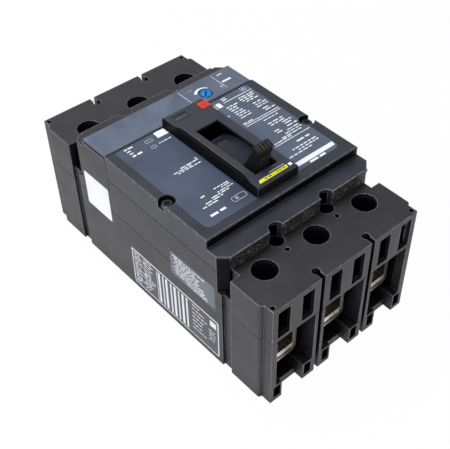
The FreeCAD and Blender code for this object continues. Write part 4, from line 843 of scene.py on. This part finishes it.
# Ribs moulded into the cap and across the grip's near side, and the marks on the skirt that show in the slot
ribLook = {"capX": (-3.3, 3.3, 4), "capY": (0.2, 3.8), "capWidth": 0.95, "sunk": 0.2, "proud": 0.32,
           "first": 45.5, "step": 2.3, "count": 5, "trim": 1.2, "width": 0.7, "low": -0.15, "high": 0.22}
capX = np.linspace(*ribLook["capX"])
nearY, farY = ribLook["capY"]
capTop = gripLevels[-1, 0]
capRibs = bars([(x, nearY) for x in capX], [(x, farY) for x in capX], ribLook["capWidth"],
               capTop - ribLook["sunk"], capTop + ribLook["proud"])
addPiece("toggle_cap_ribs", turnedToRest(capRibs), "toggle_cap", "toggle")
fingerRibs = []
for level in ribLook["first"] + ribLook["step"] * np.arange(ribLook["count"]):
    width, depth, lean = gripSize(level)
    reach, out = width - ribLook["trim"], depth - lean
    points, faces = dashes([(-reach, reach, level, ribLook["width"])], out + ribLook["low"],
                           out + ribLook["high"])
    fingerRibs.append((np.column_stack([points[:, 0], -points[:, 2], points[:, 1]]), faces))
addPiece("toggle_finger_ribs", turnedToRest(joined(fingerRibs)), "toggle_black", "toggle")
skirtR = toggleLook["skirtOuter"]


def onSkirt(shape):
    # Flat marks bent round the skirt: their second coordinate becomes an angle about the pivot
    x, around, height = shape[0].T
    angle, out = around / skirtR, skirtR + height
    return np.column_stack([x, np.sin(angle) * out, np.cos(angle) * out]), shape[1]


marks = [dashes([(-3.6, 4.4, 33.6, 1.0)], -0.05, 0.12),
         ring((-1.6, 27.0), 0.9, 1.3, -0.05, 0.1),
         ring((1.8, 27.0), 0.5, 0.85, -0.05, 0.1),
         dashes([(-3.4, -1.4, 24.6, 0.5), (0.6, 3.0, 24.6, 0.5)], -0.05, 0.08)]
addPiece("toggle_skirt_marks", turnedToRest(onSkirt(joined(marks))), "skirt_mark", "toggle")
print("dressing: toggle")

# Terminal chambers: a floor over each lug and a column round each key hole, from the screw's place outwards
chamberLook = {"hole": 6.9, "wall": 1.15, "floor": (48.8, 50.0), "roof": 2.1, "narrow": 9.8, "wide": 14.1,
               "inner": -10.7, "step": -3.5, "outer": 20.2, "rays": 72}


def reachOf(corners, angles):
    # Along each ray from the origin, the nearest crossing with the outline's sides
    a, b = corners, np.roll(corners, -1, 0)
    d = np.column_stack([np.cos(angles), np.sin(angles)])[:, None, :]
    side = (b - a)[None]
    bottom = d[..., 0] * side[..., 1] - d[..., 1] * side[..., 0]
    bottom = np.where(np.abs(bottom) < 1e-9, 1e-9, bottom)
    along = (a[None, :, 0] * side[..., 1] - a[None, :, 1] * side[..., 0]) / bottom
    share = (a[None, :, 0] * d[..., 1] - a[None, :, 1] * d[..., 0]) / bottom
    hit = (along > 0) & (share >= -1e-9) & (share <= 1 + 1e-9)
    return np.where(hit, along, np.inf).min(1)


narrow, wide, inner, step, outer = (chamberLook[k] for k in ("narrow", "wide", "inner", "step", "outer"))
plan = np.array([(-narrow, inner), (narrow, inner), (narrow, step), (wide, step), (wide, outer),
                 (-wide, outer), (-wide, step), (-narrow, step)])
angles = np.linspace(0, 2 * np.pi, chamberLook["rays"], endpoint=False) + 0.01
rays = np.column_stack([np.cos(angles), np.sin(angles)])
edgeOfPlan = rays * reachOf(plan, angles)[:, None]
hole, (floorLow, floorHigh) = chamberLook["hole"], chamberLook["floor"]
columnTop = lugCoverTop - chamberLook["roof"]
shapes = []
for screw in [f"{end}_lug_screw_{k}" for end in ("line", "load") for k in (1, 2, 3)]:
    centre = np.mean(boxOf(screw), 0)[:2]
    turn = np.sign(centre[1])
    for outline, low, high in ((edgeOfPlan, floorLow, floorHigh),
                               (rays * (hole + chamberLook["wall"]), floorHigh - 0.1, columnTop)):
        shapes.append(ringOfFour(rays * hole * turn + centre, outline * turn + centre, low, high))
addPiece("terminal_chamber_floors", joined(shapes), "case_black")

# Lip along the upper edge of the shelf, between the corners and the mounting bores
lipLook = {"top": 81.0, "out": 0.45, "drop": 1.6, "ends": 47.6, "bores": (13.2, 21.8), "bevel": 0.12}
shelfTop, shelfEdge = lipLook["top"], coverLow[1]
boreInner, boreOuter = lipLook["bores"]
spans = [(-lipLook["ends"], -boreOuter), (-boreInner, boreInner), (boreOuter, lipLook["ends"])]
lips = [slab(rectangle(u0, shelfEdge - lipLook["out"], u1, shelfEdge + 0.02), shelfTop - lipLook["drop"],
             shelfTop - 0.01, lipLook["bevel"]) for u0, u1 in spans]
addPiece("shelf_lip", joined(lips), "cover_slate")

# Black skins painted as shade on the step from the shelf up to the front cover's face and on the slanted shelf
# corner
stepLook = {"nearY": -50.7, "ends": 51.2, "foot": 0.1, "head": 0.7, "thick": 0.05}
shelfStepShade = uprightSkin((-stepLook["ends"], stepLook["nearY"]), (stepLook["ends"], stepLook["nearY"]),
                       shelfTop + stepLook["foot"], faceTop - stepLook["head"], stepLook["thick"])
addPiece("shelf_step_painted_shade", shelfStepShade, "painted_shade_black")
cornerLook = {"start": (-52.3, -57.7), "end": (-47.3, -62.3), "foot": 56.3, "top": 79.6, "thick": 0.06,
              "trims": (0.25, 0.1)}
addPiece("shelf_corner_painted_shade", uprightSkin(**cornerLook), "painted_shade_black")
print("dressing: terminal chambers and shelf lip")

# Labels on the left side, each as its near and far place towards the line end and its two heights
labelLook = {"sink": -0.15, "bevel": 0.03,
             "code": ((-16.6, 58.2), (2.8, 31.6)),
             "grey": ((20.0, 56.2), (40.0, 57.6)),
             "blank": ((-55.8, -32.2), (38.0, 62.6))}


def labelSlab(label, margin, top, corner, cut):
    (u0, u1), (v0, v1) = ((low + margin, high - margin) for low, high in labelLook[label])
    corners = [(u0, v0 + cut), (u0 + cut, v0), (u1 - cut, v0), (u1, v0 + cut), (u1, v1 - cut), (u1 - cut, v1),
               (u0 + cut, v1), (u0, v1 - cut)] if cut else rectangle(u0, v0, u1, v1)
    return slab(roundedOutline(corners, corner, 4), labelLook["sink"] - 0.02, top, labelLook["bevel"])


# Name, label, margin, height, corner radius, cut corners and material
for name, label, margin, top, corner, cut, material in (
        ("label_code", "code", 0.4, -0.06, 1.2, 0.0, "sticker_white"),
        ("label_code_field", "code", 1.1, -0.03, 1.0, 0.0, "label_dark"),
        ("label_grey", "grey", 0.4, -0.04, 0.5, 1.6, "label_grey"),
        ("label_blank", "blank", 0.4, -0.04, 0.8, 0.0, "sticker_white")):
    addPiece(name, onLeft(labelSlab(label, margin, top, corner, cut)), material)

# Small print and the bar field, running along the side
codeRows = [(-14.6 + (k % 3) * 0.4, -8.1 + (k * 37 % 11) * 0.45, 29.2 - 1.55 * k, 0.95) for k in range(16)]
codeRows += [(-5.6, 4.6 - (k * 29 % 7) * 0.7, 29.2 - 1.9 * k, 0.95) for k in range(13)]
codeRows += [(36.4, 44.0 + (k * 31 % 9) * 0.6, 28.4 - 3.1 * k, 0.95) for k in range(7)]
codeRows += [(50.0, 55.6, 20.0 - 2.4 * k, 0.95) for k in range(4)]
greyRows = [(22.6 + (k * 17 % 5) * 0.5, 51.0 - (k * 23 % 8) * 1.1, 55.2 - 1.75 * k, 1.0) for k in range(8)]
greyRows += [(33.0, 53.0, 41.6, 0.9)]
codeInk, greyInk = (-0.04, -0.005), (-0.05, -0.01)
barLook = {"heights": (5.2, 29.4), "block": (51.0, 56.0, 26.4, 4.4),
           # place along the side and width, in the order they are laid down
           "bars": [(8.2, 1.7), (11.6, 1.1), (14.6, 1.9), (18.6, 1.3), (21.8, 2.0), (25.2, 1.2), (28.6, 1.9),
                    (32.0, 1.4)], "edge": [(6.2, 0.5)]}


def uprightBars(places):
    places, widths = np.array(places).T
    low, high = (np.column_stack([places, np.full(len(places), v)]) for v in barLook["heights"])
    return bars(low, high, widths, *codeInk)


codePrint = joined([printed(codeRows, 31, *codeInk), uprightBars(barLook["bars"]),
                    dashes([barLook["block"]], *codeInk), uprightBars(barLook["edge"])])
addPiece("label_code_print", onLeft(codePrint), "label_print")
addPiece("label_grey_print", onLeft(printed(greyRows, 41, *greyInk)), "label_print")
print("dressing: labels on the side")
